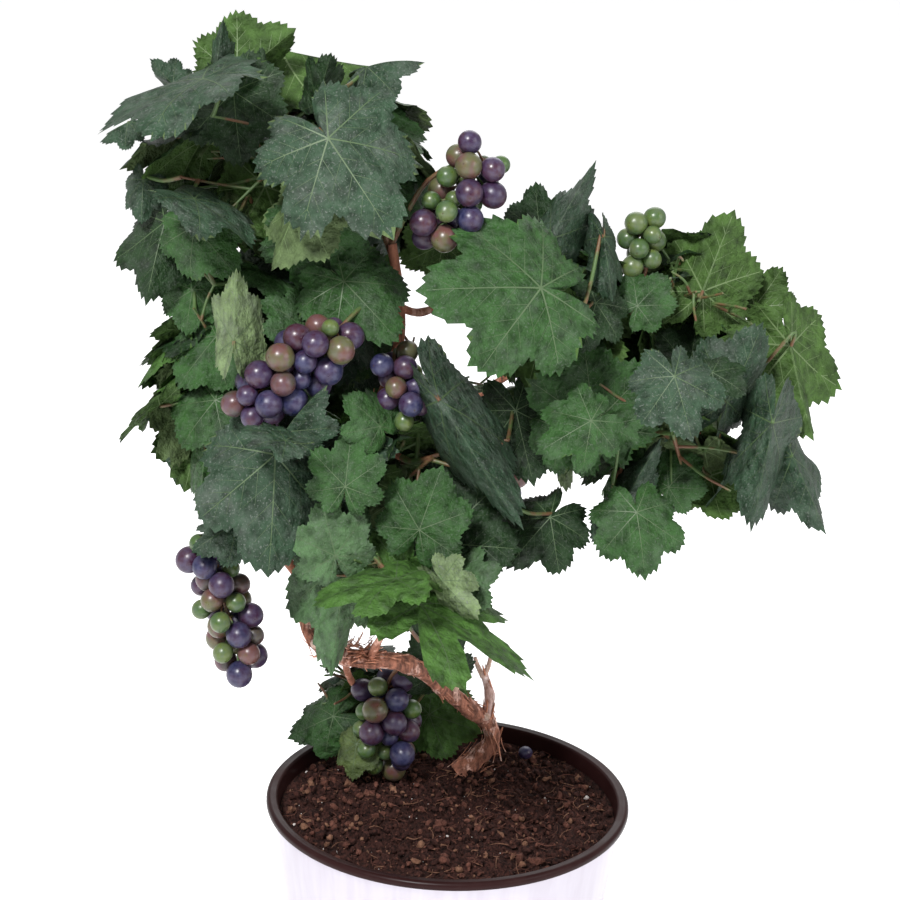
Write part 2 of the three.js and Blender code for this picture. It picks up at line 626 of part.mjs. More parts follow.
function growLeaves() {
  masses.forEach((mass, seed) => {
    mass.twigs = twigsOf(mass, seed);
    mass.grown = mass.shown.map(([junction, tip, turn, bend, fold]) => (
      makeLeaf(vector(junction), vector(tip), turn, bend, fold, null)));
  });
  const shownLeaves = masses.flatMap((mass) => mass.grown);
  const all = [...shownLeaves];
  masses.forEach((mass, seed) => {
    for (let index = 0; index < mass.leaves; index += 1) {
      for (let attempt = 0; attempt < attempts; attempt += 1) {
        const leaf = leafByRule(mass, seed, index, attempt);
        const fits = keepsToItsSpace(mass, leaf) && comesFromBehind(mass, leaf)
          && clearOfLimbs(leaf) && clearOfBerries(leaf)
          && leavesSkyOpen(leaf) && !hidesWhatShows(leaf, shownLeaves) && clearOfLeaves(leaf, all);
        if (fits) {
          mass.grown.push(leaf);
          all.push(leaf);
          break;
        }
      }
    }
  });
}

function massSolid(mass, grow) {
  const pieces = mass.twigs.map((twig, i) => tube(twig.route, () => twig.radius + grow, i === 0 ? 5 : 4));
  for (const leaf of mass.grown) {
    pieces.push(leafSolid(leaf, nearestTwigPoint(mass, leaf.junction), grow));
  }
  return joined(pieces);
}

// Pot, sleeve and soil
const sleeveOuter = (height) => sleeveTopRadius - (potHeight - rimDepth - height) * sleeveTaper;
const potOuter = (height) => sleeveOuter(height) - sleeveWall - clearance;
const potInner = (height) => potOuter(height) - potWall;

function sleeveSolid() {
  const top = potHeight - rimDepth - clearance;
  return turned([
    [0, 0], [sleeveOuter(0) - 2, 0], [sleeveOuter(2), 2], [sleeveOuter(top), top],
    [sleeveOuter(top) - sleeveWall, top], [sleeveOuter(sleeveFloor) - sleeveWall, sleeveFloor],
    [0, sleeveFloor],
  ], potSides);
}

function potSolid() {
  const base = sleeveFloor + clearance;
  const lip = potHeight - rimDepth;
  return turned([
    [0, base], [potOuter(base) - 1, base], [potOuter(lip), lip], [rimRadius - rimRound, lip],
    [rimRadius, lip + rimRound], [rimRadius, potHeight - rimRound], [rimRadius - rimRound, potHeight],
    [potInner(potHeight) + 1, potHeight], [potInner(potHeight), potHeight - 1],
    [potInner(base + potFloor), base + potFloor], [0, base + potFloor],
  ], potSides);
}

function soilSolid() {
  const base = sleeveFloor + clearance + potFloor + clearance;
  const inside = (height) => potInner(height) - clearance;
  return turned([
    [0, base], [inside(base), base], [inside(soilEdge), soilEdge],
    [inside(soilEdge) * 0.75, mix(soilEdge, soilCrown, 0.7)],
    [inside(soilEdge) * 0.4, mix(soilEdge, soilCrown, 0.95)], [0, soilCrown],
  ], potSides);
}

function belowTheTrunkFoot() {
  return solidFrom(new THREE.BoxGeometry(60, 60, 40).translate(0, 46, trunkFoot - 20));
}

// Assembly: what was placed before cuts the later piece back, and the gap between them stays clear
const group = new THREE.Group();

// The outer skin of a solid: a hollow that joining has sealed is left out, and so is filled
function outerSkin(solid) {
  const { vertProperties, triVerts } = solid.getMesh();
  const chain = Array.from({ length: vertProperties.length / 3 }, (_, i) => i);
  const skinOf = (vertex) => {
    while (chain[vertex] !== vertex) {
      vertex = chain[vertex];
    }
    return vertex;
  };
  for (let i = 0; i < triVerts.length; i += 3) {
    chain[skinOf(triVerts[i])] = skinOf(triVerts[i + 1]);
    chain[skinOf(triVerts[i + 1])] = skinOf(triVerts[i + 2]);
  }
  const corner = (i) => new THREE.Vector3().fromArray(vertProperties, 3 * triVerts[i]);
  const volumes = new Map();
  for (let i = 0; i < triVerts.length; i += 3) {
    const skin = skinOf(triVerts[i]);
    const volume = corner(i).dot(corner(i + 1).cross(corner(i + 2))) / 6;
    volumes.set(skin, (volumes.get(skin) ?? 0) + volume);
  }
  const outer = [...volumes].reduce((best, entry) => (entry[1] > best[1] ? entry : best))[0];
  const positions = [];
  for (let i = 0; i < triVerts.length; i += 1) {
    if (skinOf(triVerts[i]) === outer) {
      positions.push(...corner(i).toArray());
    }
  }
  const geometry = new THREE.BufferGeometry();
  geometry.setAttribute('position', new THREE.Float32BufferAttribute(positions, 3));
  const merged = mergeVertices(geometry, smallestStep);
  const bodies = solidOf(merged.attributes.position.array, merged.index.array).decompose();
  return bodies.reduce((best, body) => (body.volume() > best.volume() ? body : best)).getMesh();
}

function place(name, solid, colour, roughness, metalness) {
  const { vertProperties, triVerts } = outerSkin(solid);
  const geometry = new THREE.BufferGeometry();
  geometry.setAttribute('position', new THREE.BufferAttribute(new Float32Array(vertProperties), 3));
  geometry.setIndex(new THREE.BufferAttribute(new Uint32Array(triVerts), 1));
  geometry.computeVertexNormals();
  const material = new THREE.MeshStandardMaterial({ color: colour, roughness, metalness });
  const mesh = new THREE.Mesh(geometry, material);
  mesh.name = name;
  group.add(mesh);
}

limbs.forEach((limb) => {
  limb.line = smoothRoute(limb.route.map(vector), 2);
});
bunches.forEach((bunch, seed) => {
  bunch.berries = berriesOf(bunch, seed + 40);
});
growLeaves();

const ground = belowTheTrunkFoot();
const trunkSolid = limbSolid(limbs[0], 0).subtract(ground);
const kept = [limbSolid(limbs[0], clearance).subtract(ground.translate(0, 0, -clearance))];
place('trunk', trunkSolid, colours.bark, 0.9, 0);
for (const limb of limbs.slice(1)) {
  place(limb.name, limbSolid(limb, 0).subtract(joined(kept)), colours.bark, 0.9, 0);
  kept.push(limbSolid(limb, clearance));
}

place('sleeve', sleeveSolid(), colours.sleeve, 0.25, 0.9);
place('pot', potSolid(), colours.pot, 0.3, 0);
const soil = soilSolid().subtract(kept[0]);
place('soil', soil, colours.soil, 1, 0);
const wider = 1 + clearance / rimRadius;
kept.push(potSolid(), potSolid().scale([wider, wider, 1]).translate(0, 0, clearance));
kept.push(soil.translate(0, 0, clearance));

const dropped = ball(vector(fallenBerry.at), fallenBerry.radius);
place('fallen_berry', dropped, colours.fruit, 0.4, 0);

for (const bunch of bunches) {
  place(bunch.name, bunchSolid(bunch, 0).subtract(joined(kept)), colours.fruit, 0.4, 0);
  kept.push(bunchSolid(bunch, clearance));
}

for (const mass of masses) {
  place(mass.name, massSolid(mass, 0).subtract(joined(kept)), colours.leaf, 0.7, 0);
  kept.push(massSolid(mass, clearance));
}

export default group;
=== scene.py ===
import math
from collections import namedtuple

import bpy
import numpy as np
from mathutils import Matrix, Vector, noise


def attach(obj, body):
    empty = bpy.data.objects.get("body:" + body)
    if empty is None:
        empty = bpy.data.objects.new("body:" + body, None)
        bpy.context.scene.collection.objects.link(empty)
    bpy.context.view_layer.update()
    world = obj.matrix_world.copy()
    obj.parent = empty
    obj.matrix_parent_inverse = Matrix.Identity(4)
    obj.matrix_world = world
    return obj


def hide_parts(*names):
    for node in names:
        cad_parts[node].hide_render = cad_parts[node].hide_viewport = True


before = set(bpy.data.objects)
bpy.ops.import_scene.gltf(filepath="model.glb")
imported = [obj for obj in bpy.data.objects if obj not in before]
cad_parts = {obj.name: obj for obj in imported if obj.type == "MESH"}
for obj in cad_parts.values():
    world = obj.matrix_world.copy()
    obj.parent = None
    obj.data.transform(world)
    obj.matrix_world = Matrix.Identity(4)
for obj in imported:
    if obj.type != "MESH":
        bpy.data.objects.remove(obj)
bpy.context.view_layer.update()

# Millimetres, as in the part's source; pieces are scaled to metres when they are made.
MM = 0.001

# Pot and sleeve
POT_HEIGHT = 178
RIM_RADIUS = 100
RIM_DEPTH = 4.5
SLEEVE_TOP_RADIUS = 95.9
SLEEVE_TAPER = 0.121
SLEEVE_WALL = 1
SLEEVE_FLOOR = 1.2
POT_WALL = 1.3
POT_FLOOR = 2.5
CLEARANCE = 0.3
PIN_HOLE = 0.01
SLEEVE_WOBBLE = 0.12
ROUND_SIDES = 160

# Soil
SOIL_EDGE = 169
SOIL_CROWN = 171
FALLEN_BERRY = ((45, 62, 173.8), 4)
SOIL_SIDES, SOIL_RINGS = 210, 74
SOIL_CRUMBS, SOIL_FIBRES = 3200, 320
# Rises and dips of the soil: height, size and seed
SOIL_LUMPS = [(1.7, 15, 2), (1.3, 6, 5), (0.9, 2.4, 9)]

# Foliage: sizes of its parts, and how far the masses reach
LEAF_THICKNESS = 0.35
PETIOLE_RADIUS = 1.0
STEM_RADIUS = 1.9
SHOOT_RADIUS = 1.3
TWIG_RADIUS = 0.9
SHOOT_REACH = 0.5
TWIG_REACH = 0.78
SPACE_LIMIT = 1.12
EDGE_DROOP = math.radians(20)

# How far a leaf of the rule keeps off the others, the limbs and the berries, how often a place is tried
# for it, and its size; the fine leaves are in the scene only, up to three for each leaf of the rule
LEAF_SPACING, FINE_SPACING = 8, 2.5
LIMB_SPACING = 3
BERRY_SPACING = 4
ATTEMPTS = 24
LEAF_SIZE, FINE_SIZE = (30, 47), (26, 44)
FINE_SHARE = 3

# Fruit: the solids' share of the berries, the meshes, and how the berries of a bunch are pushed apart
SOLID_BERRIES = 0.42
BERRY_SIDES, BERRY_RINGS, SCAR_RINGS = 24, 13, 3
GREEN_BERRY_SIZE = 0.78
BERRY_TOUCH = 0.97
BERRY_PULL = 0.03
PUSH_ROUNDS = 30

# Directions, and the place that the photograph was taken from
GOLDEN_ANGLE = math.pi * (3 - math.sqrt(5))
VIEW_POINT = np.array([-5, -953, 663.0])
LIGHT = np.array([0, -0.85, 0.53])
UP = np.array([0, 0, 1.0])

# Corners of the plain leaf that the rule's tests use: degrees from the midrib, and share of its length
LEAF_CORNERS = [(0, 1), (48, 0.86), (98, 0.68), (146, 0.58),
                (180, 0.1), (214, 0.58), (262, 0.68), (312, 0.86)]

# The real outline: its lobes' main veins in degrees, the hull over the lobes, the bays between them as
# middle, depth and width, the size of a tooth, and where the teeth and the outline end beside the stalk
MAIN_VEINS = [0, 50, 104, 150]
HULL = [(0, 1), (22, 0.9), (50, 0.88), (76, 0.74), (104, 0.72),
        (126, 0.6), (150, 0.58), (164, 0.46), (174, 0.26), (180, 0.1)]
BAYS = [(27, 0.17, 9), (79, 0.13, 9), (128, 0.07, 8)]
TOOTH = 0.03
TOOTHED_UP_TO = 170
NOTCH_EDGE = 174
MAIN_VEIN_WIDTH = (0.0075, 0.0022)
SIDE_VEIN_WIDTH = (0.0022, 0.0008)
UPPER_VEIN_RISE = 0.12
UNDER_VEIN_RISE = 0.2
UNDER_VEIN_WIDER = 1.5
PLEAT_DEPTH = 0.032
PLEAT_SPREAD = math.radians(26)
MARGIN_WAVES = [(2, 0.02), (3, 0.026), (5, 0.02), (9, 0.01)]
# Near the midrib the lift turns from straight up to each side's own way, over this share of the length
MIDRIB_EASE = 0.2

# How fine a leaf is made, if it is one of those listed or if it fills up the crown
Detail = namedtuple("Detail", "teeth rings main_points side_points side_veins_under stalk_sides")
SHOWN_DETAIL = Detail((8, 9, 7, 3), [0.16, 0.36, 0.56, 0.76, 0.9, 1], 8, 4, True, 7)
FILLER_DETAIL = Detail((6, 7, 5, 2), [0.34, 0.66, 0.88, 1], 5, 3, False, 5)

# Trunk and boughs: the places that each one passes, and its radii at both ends
LIMBS = {
    "trunk": ([(5, 46, 162), (9, 46, 169), (17, 46, 178), (25, 45, 190), (21, 44, 203)], (5.2, 4.6)),
    "spur": ([(21, 44, 202), (22, 42, 219), (18, 39, 234)], (3.4, 1.9)),
    "arm_low": ([(21, 44, 201), (0, 23, 227), (-15, 6, 247), (-29, -6, 258), (-42, -12, 261)], (4.6, 4.8)),
    "arm_bend": ([(-41, -12, 261), (-55, -14, 263), (-69, -12, 267), (-77, -6, 275), (-80, -2, 289)],
                 (4.8, 4.1)),
    "arm_rise": ([(-79, -3, 287), (-78, 3, 318), (-65, 5, 350), (-50, 4, 384), (-39, 2, 409)], (4, 3.2)),
    "cane_top": ([(-40, 2, 407), (-33, 0, 434), (-34, -1, 460), (-38, 0, 484)], (3, 2.6)),
    "cane_top_back": ([(-34, -1, 460), (-38, 24, 472), (-46, 44, 486)], (2.3, 1.7)),
    "cane_left": ([(-79, -1, 296), (-97, 8, 320), (-108, 14, 352), (-110, 14, 384)], (2.7, 1.9)),
    "cane_left_high": ([(-72, 5, 336), (-84, 10, 372), (-84, 6, 408), (-80, -4, 430)], (2.4, 1.7)),
    "cane_centre": ([(-54, 4, 376), (-42, -8, 378), (-30, -16, 376)], (2.3, 1.8)),
    "cane_back": ([(-68, 5, 343), (-54, 26, 366), (-38, 44, 384)], (2.4, 1.8)),
    "cane_upper": ([(-34, 0, 452), (-22, 10, 447), (0, 15, 456), (24, 12, 468)], (2.2, 1.7)),
    "cane_far": ([(-76, 4, 325), (-48, 24, 346), (0, 34, 390), (52, 34, 426), (92, 30, 448)], (2.6, 1.7)),
    "cane_right": ([(-60, 5, 362), (-30, 14, 364), (12, 18, 372), (52, 10, 382), (76, 0, 388)], (2.6, 1.8)),
    "cane_right_back": ([(-66, 6, 348), (-30, 40, 356), (20, 58, 378), (62, 64, 398)], (2.4, 1.7)),
    "shoot_low": ([(-44, -13, 262), (-40, -26, 276), (-34, -38, 292)], (2.2, 1.7)),
    "shoot_low_back": ([(-55, -13, 263), (-58, 6, 250), (-56, 26, 232), (-50, 42, 216)], (2.2, 1.6)),
}
TRUNK_FLARE = 3.2
OLD_WOOD = ("trunk", "spur", "arm_low", "arm_bend", "arm_rise")
KNOB_SPACING, KNOB_WIDTH = 34, 3.2
# Strips of peeling bark on each old limb, the tuft of them at the bend, the snags on top of the spur, and
# knots, each with its place and size
BARK_STRIPS = {"trunk": 46, "arm_low": 44, "arm_bend": 40, "spur": 16, "arm_rise": 36}
TUFT_FROM, TUFT_TO = np.array([-68, -14, 267.0]), np.array([-38, -12, 263.0])
TUFT_STRIPS, TUFT_RADIUS = 110, 4.6
SNAG_ROOT, SNAG_TIPS = (18, 39, 231), ((13, 38, 243), (22, 41, 245))
KNOTS = [((2, 17, 234), (2.6, 2, 2.8)), ((20, 38, 207), (3, 2, 2.4)), ((-73, -14, 270), (3, 2, 3))]

# Bunches: the stalk's way and the bunch's top, its bottom, berries, girth, taper, sizes, and the shares of
# blue, violet, plum, rosy, olive and green berries
BUNCHES = {
    "bunch_left": ([(-108, 14, 352), (-122, -16, 350), (-130, -26, 332)], (-110, -30, 262), 34, 16, 0.45,
                   (5, 7), (5, 5, 4, 2, 7, 9)),
    "bunch_centre_left": ([(-35, 0, 447), (-48, -34, 460), (-62, -52, 450)], (-104, -56, 412), 31, 19, 0.35,
                          (5, 7.2), (8, 6, 4, 4, 5, 3)),
    "bunch_centre": ([(-34, 0, 424), (-34, -22, 434), (-34, -34, 430)], (-26, -38, 408), 15, 14, 0.3,
                     (4.6, 6.4), (6, 6, 4, 0, 1, 2)),
    "bunch_top": ([(-38, 0, 484), (-20, -18, 520), (6, -26, 532)], (-14, -34, 496), 26, 20, 0.25, (4.4, 7),
                  (4, 4, 4, 1, 6, 8)),
    "bunch_green": ([(90, 30, 447), (94, 20, 478), (90, 14, 497)], (90, 12, 478), 10, 11, 0.2, (4.6, 6),
                    (0, 0, 0, 0, 0, 1)),
    "bunch_low": ([(-18, 4, 250), (-30, 20, 242), (-36, 23, 228)], (-34, 24, 186), 32, 18, 0.35, (4.8, 7.2),
                  (6, 6, 3, 1, 3, 8)),
    "bunch_back_high": ([(18, 57, 377), (20, 84, 388), (22, 92, 378)], (26, 94, 322), 28, 16, 0.4, (5, 7),
                        (5, 6, 4, 2, 3, 4)),
    "bunch_back_left": ([(-84, 10, 372), (-104, 56, 398), (-108, 72, 388)], (-110, 76, 346), 22, 15, 0.4,
                        (5, 6.8), (5, 6, 4, 2, 3, 4)),
}

# Masses of foliage: the bough that the stem grows from, centre, reach, shoots, leaves of the rule, and the
# leaves that show: vein junction, tip, degrees of turn, bend and fold, tone and depth of the bays
MASSES = {
    "crown_front": ("cane_top", (-92, -14, 528), (86, 66, 68), 4, 9, [
        ((-67, -58, 544), (-36, -72, 502), 0, 12, -6, "dusty", 1.2),
        ((-117, -10, 559), (-112, -22, 525), 12, 10, 10, "dark_and_shaded", 0.8),
        ((-129, -34, 567), (-178, -42, 541), 52, 14, 6, "dusty", 0.9),
        ((-149, 6, 560), (-161, 10, 571), -35, 20, -35, "dusty", 1),
        ((-171, 0, 541), (-184, -6, 532), 30, 20, -30, "dusty", 1),
        ((-117, 2, 565), (-90, 10, 588), 225, -10, 40, "bright", 0.6),
        ((-99, 36, 576), (-45, 30, 570), 130, 10, 40, "bright", 0.8),
        ((-53, 12, 571), (-26, 4, 577), -35, 15, -30, "dusty", 1),
        ((-76, -10, 555), (-69, -20, 579), 20, 20, -50, "dark_and_shaded", 1),
        ((-132, -44, 511), (-102, -56, 493), -52, 14, 6, "dusty", 0.7),
        ((-80, -50, 513), (-93, -56, 481), 200, -10, 40, "olive", 0.6),
        ((-162, -10, 514), (-162, -18, 494), 0, 20, -30, "dusty", 1),
        ((-103, -4, 564), (-104, 0, 580), 10, 15, -50, "dark_and_shaded", 1),
        ((-126, -8, 566), (-123, -4, 593), 0, 15, -60, "dusty", 0.9)]),
    "crown_back": ("cane_top_back", (-82, 60, 512), (80, 52, 74), 4, 16, []),
    "left": ("cane_left", (-122, -6, 420), (52, 66, 84), 4, 8, [
        ((-151, -14, 494), (-159, -26, 456), 0, 16, -32, "dark_and_shaded", 0.8),
        ((-134, -28, 495), (-113, -36, 473), 10, 10, -8, "mid", 1),
        ((-111, -62, 446), (-111, -52, 478), 0, -10, -50, "pale", 0.8),
        ((-138, -10, 459), (-141, -14, 437), 0, 10, -8, "mid", 1),
        ((-125, -16, 437), (-144, -20, 411), 15, 12, -8, "mid", 0.6),
        ((-125, -22, 405), (-142, -30, 382), 10, 14, -8, "mid", 0.6),
        ((-130, -24, 379), (-132, -34, 346), 10, 14, -45, "mid", 0.8),
        ((-91, -58, 388), (-92, -78, 332), -12, 22, -24, "dusty", 0.8),
        ((-86, -62, 401), (-67, -66, 426), -20, 20, -50, "dusty", 1),
        ((-112, -40, 345), (-133, -52, 334), 10, 24, -30, "dusty", 1),
        ((-84, -80, 402), (-106, -76, 406), 50, 20, 6, "dusty", 1)]),
    "left_back": ("cane_left_high", (-84, 30, 440), (64, 62, 52), 4, 12, [
        ((-60, -34, 471), (-33, -46, 445), -5, 16, -8, "mid", 0.9),
        ((-81, -34, 448), (-100, -34, 461), 15, 14, 10, "mid", 1)]),
    "centre": ("cane_centre", (-14, -28, 380), (68, 58, 54), 4, 10, [
        ((-11, -60, 419), (30, -78, 363), 12, 16, -62, "dusty", 0.8),
        ((28, -16, 403), (38, -26, 368), 10, 10, -10, "dark_and_shaded", 1),
        ((-56, -62, 374), (-54, -52, 399), 0, 10, 14, "mid", 1.2),
        ((-19, -54, 350), (-9, -44, 379), 0, 14, 12, "mid", 0.8),
        ((-9, -28, 334), (24, -22, 370), -10, 10, 10, "dark_and_shaded", 1),
        ((-40, -50, 402), (-57, -54, 418), 10, 16, -10, "mid", 1),
        ((48, -22, 348), (27, -34, 325), 10, 14, -12, "dark_and_shaded", 1)]),
    "back": ("cane_back", (-34, 62, 388), (84, 50, 78), 4, 20, []),
    "upper": ("cane_upper", (38, -12, 466), (66, 62, 60), 4, 14, [
        ((36, -58, 476), (-21, -72, 476), 0, 14, -6, "mid", 1.1),
        ((41, -26, 494), (62, -8, 530), 0, 10, -60, "dusty", 0.9),
        ((37, 6, 492), (34, 14, 515), -20, 10, 16, "dark_and_shaded", 1),
        ((68, -16, 494), (73, -28, 465), 0, 10, -58, "dusty", 0.9),
        ((66, -14, 460), (60, -26, 438), 0, 18, -10, "dark_and_shaded", 1),
        ((-12, 16, 482), (-33, 8, 472), 180, 10, 0, "bright", 0.8)]),
    "far": ("cane_far", (126, 26, 458), (52, 50, 48), 4, 12, [
        ((123, 14, 462), (138, 30, 500), 180, -10, 42, "bright", 0.7),
        ((154, 36, 450), (168, 40, 470), 170, 16, 8, "mid", 0.8),
        ((88, -4, 457), (103, 4, 472), -10, 10, 8, "mid", 0.8)]),
    "right": ("cane_right", (108, -24, 396), (80, 58, 62), 5, 8, [
        ((169, 4, 437), (182, -8, 392), 168, 14, 40, "bright", 0.9),
        ((155, -42, 408), (147, -54, 357), 0, 10, -58, "dusty", 1),
        ((103, -56, 434), (112, -68, 406), 0, 18, -8, "dusty", 1.3),
        ((119, 14, 419), (124, 34, 441), 0, -20, 30, "dark_and_shaded", 0.8),
        ((134, -26, 414), (150, -18, 452), 20, 10, -35, "dusty", 1),
        ((67, -28, 400), (61, -14, 442), 0, 12, 12, "mid", 1),
        ((63, -66, 413), (38, -72, 398), 0, 18, -12, "mid", 1.4),
        ((75, -42, 404), (92, -44, 410), -10, 16, -14, "mid", 1),
        ((50, -40, 401), (67, -50, 381), 10, 16, -16, "mid", 1),
        ((81, -40, 358), (101, -28, 393), 0, 10, -55, "dusty", 0.9),
        ((89, -54, 363), (94, -68, 334), 0, 16, -10, "mid", 0.9),
        ((109, -14, 364), (124, -12, 381), -10, 14, 0, "mid", 1),
        ((125, -30, 430), (141, -38, 422), 0, 20, -10, "dark_and_shaded", 1),
        ((170, -22, 385), (189, -30, 348), 0, 10, -52, "dusty", 1)]),
    "right_back": ("cane_right_back", (84, 66, 412), (84, 48, 70), 4, 16, []),
    "low": ("shoot_low", (-26, -50, 320), (66, 46, 52), 4, 6, [
        ((-60, -66, 339), (-68, -58, 365), 0, 12, 10, "pale_green", 0.9),
        ((-56, -56, 333), (-61, -66, 275), -10, 16, -46, "pale_green", 1.2),
        ((-29, -90, 337), (-68, -100, 328), 56, 14, 6, "young", 2),
        ((-26, -44, 324), (-43, -36, 342), -20, 10, 40, "young", 2),
        ((-17, -82, 321), (36, -94, 290), -52, 14, 6, "young", 2.4),
        ((-7, -82, 334), (11, -86, 316), 20, 16, -36, "pale", 1.4),
        ((0, -54, 322), (22, -60, 334), -20, 14, -8, "pale_green", 1),
        ((-27, -34, 311), (-41, -36, 287), 0, 14, -8, "dark_and_shaded", 1)]),
    "foot": ("shoot_low_back", (-44, 48, 214), (62, 36, 44), 4, 6, [
        ((-12, 58, 198), (18, 52, 191), 0, 14, 0, "young", 0.5),
        ((-52, 20, 196), (-54, 12, 178), 20, 10, -8, "olive", 0.8),
        ((-66, 34, 206), (-92, 40, 189), 10, 16, -20, "mid", 1),
        ((-8, 20, 241), (-18, 14, 270), 0, 10, 0, "dark_and_shaded", 1)]),
}

# Places where the background shows through the crown, as seen from the view point: a point and a radius
SKY_GAPS = [((-26, 0, 466), 12), ((-10, 0, 434), 20), ((-113, 0, 558), 7), ((66, -30, 280), 62)]


def chance(seed, index, channel):
    """The same three whole numbers always give the same share between 0 and 1."""
    bits = (seed + 1) * 0x9E3779B1 ^ (index + 1) * 0x85EBCA6B ^ (channel + 1) * 0xC2B2AE35
    bits &= 0xFFFFFFFF
    bits = (bits ^ bits >> 15) * 0x2C1B3C6D & 0xFFFFFFFF
    bits = (bits ^ bits >> 12) * 0x297A2D39 & 0xFFFFFFFF
    return (bits ^ bits >> 15) / 4294967296


def mix(low, high, share):
    return low + (high - low) * share


def unit(vector):
    return vector / np.linalg.norm(vector, axis=-1, keepdims=True)


def smooth_route(points, steps):
    """Points along a smooth curve through the given ones."""
    points = np.array(points, float)
    route = [points[0]]
    for i in range(len(points) - 1):
        b, c = points[i], points[i + 1]
        slope_in = (c - points[max(i - 1, 0)]) / 2
        slope_out = (points[min(i + 2, len(points) - 1)] - b) / 2
        cubic = 2 * b - 2 * c + slope_in + slope_out
        square = 3 * c - 3 * b - 2 * slope_in - slope_out
        for step in range(1, steps + 1):
            t = step / steps
            route.append(cubic * t ** 3 + square * t ** 2 + slope_in * t + b)
    return np.array(route)


def to_segments(points, starts, ends):
    """Distance of each point to each segment."""
    along = ends - starts
    share = ((points[:, None] - starts) * along).sum(2) / np.maximum((along ** 2).sum(1), 1e-12)
    nearest = starts + np.clip(share, 0, 1)[..., None] * along
    return np.linalg.norm(points[:, None] - nearest, axis=2)


def turned_about(vector, axis, angle):
    return (vector * math.cos(angle) + np.cross(axis, vector) * math.sin(angle)
            + axis * (axis @ vector) * (1 - math.cos(angle)))


class Leaf:
    """A blade: it is bent along its midrib, folded across it, and its sides droop."""

    def __init__(self, junction, tip, turn, bend, fold, face, tone, bays):
        self.junction, self.tip = np.array(junction, float), np.array(tip, float)
        self.tone, self.bays = tone, bays
        chord = self.tip - self.junction
        along = unit(chord)
        toward = LIGHT if face is None else face
        facing = turned_about(unit(toward - (toward @ along) * along), along, math.radians(turn))
        half = math.radians(bend or 1) / 2
        self.start = along * math.cos(half) + facing * math.sin(half)
        self.normal = facing * math.cos(half) - along * math.sin(half)
        self.side = np.cross(self.normal, self.start)
        self.length = np.linalg.norm(chord) * half / math.sin(half)
        self.curve = 2 * half / self.length
        self.fold = math.radians(fold)
        corners = np.array([p for a, r in LEAF_CORNERS for p in ((a, 0.95 * r), (a, 0.5 * r))])
        angles, reach = np.radians(corners[:, 0]), corners[:, 1] * self.length
        places = self.blade(reach * np.cos(angles), reach * np.sin(angles), 0 * angles)
        self.samples = np.vstack([self.junction, places])

    def blade(self, u, v, lift):
        """The place that lies u along the midrib and v across it, lifted off the blade."""
        away = np.abs(v)
        droop = -EDGE_DROOP / (0.8 * self.length)
        angle = self.fold + droop * away
        run = (np.sin(angle) - math.sin(self.fold)) / droop
        rise = (math.cos(self.fold) - np.cos(angle)) / droop
        sideways = np.minimum(away / (MIDRIB_EASE * self.length), 1) * np.sin(angle)
        outward = np.sign(v) * (run - lift * sideways)
        height = rise + lift * np.cos(angle)
        x = np.sin(self.curve * u) / self.curve + height * np.sin(self.curve * u)
        z = -(1 - np.cos(self.curve * u)) / self.curve + height * np.cos(self.curve * u)
        return (self.junction + np.outer(x, self.start) + np.outer(outward, self.side)
                + np.outer(z, self.normal))


def berries_of(name, seed, share):
    """Berries are spread round the axis, then pushed apart until they only touch."""
    route, bottom, count, girth, taper, sizes, _ = BUNCHES[name]
    top, bottom = np.array(route[-1], float), np.array(bottom, float)
    axis = bottom - top
    across = unit(np.array([1.0, 0, 0]) - axis * axis[0] / (axis @ axis))
    third = np.cross(unit(axis), across)
    count = math.floor(count * share + 0.5)
    shares = [(i + 0.5) / count for i in range(count)]
    centres, radii = [], []
    for i, at in enumerate(shares):
        spread = girth * mix(1, taper, at) * (0.6 + 0.4 * chance(seed, i, 0))
        angle = i * GOLDEN_ANGLE
        centres.append(top + axis * at + across * spread * math.cos(angle) + third * spread * math.sin(angle))
        radii.append(mix(sizes[0], sizes[1], math.sqrt(chance(seed, i, 1))) / share ** (1 / 3))
    for _ in range(PUSH_ROUNDS):
        for i in range(count):
            centres[i] = mix(centres[i], top + axis * shares[i], BERRY_PULL)
            for j in range(count):
                gap = centres[i] - centres[j]
                distance = math.sqrt(gap @ gap)
                wanted = (radii[i] + radii[j]) * BERRY_TOUCH
                if i != j and distance < wanted:
                    centres[i] = centres[i] + gap * (wanted - distance) / distance / 2
                    centres[j] = centres[j] - gap * (wanted - distance) / distance / 2
    return np.array(centres), np.array(radii), np.array(shares)


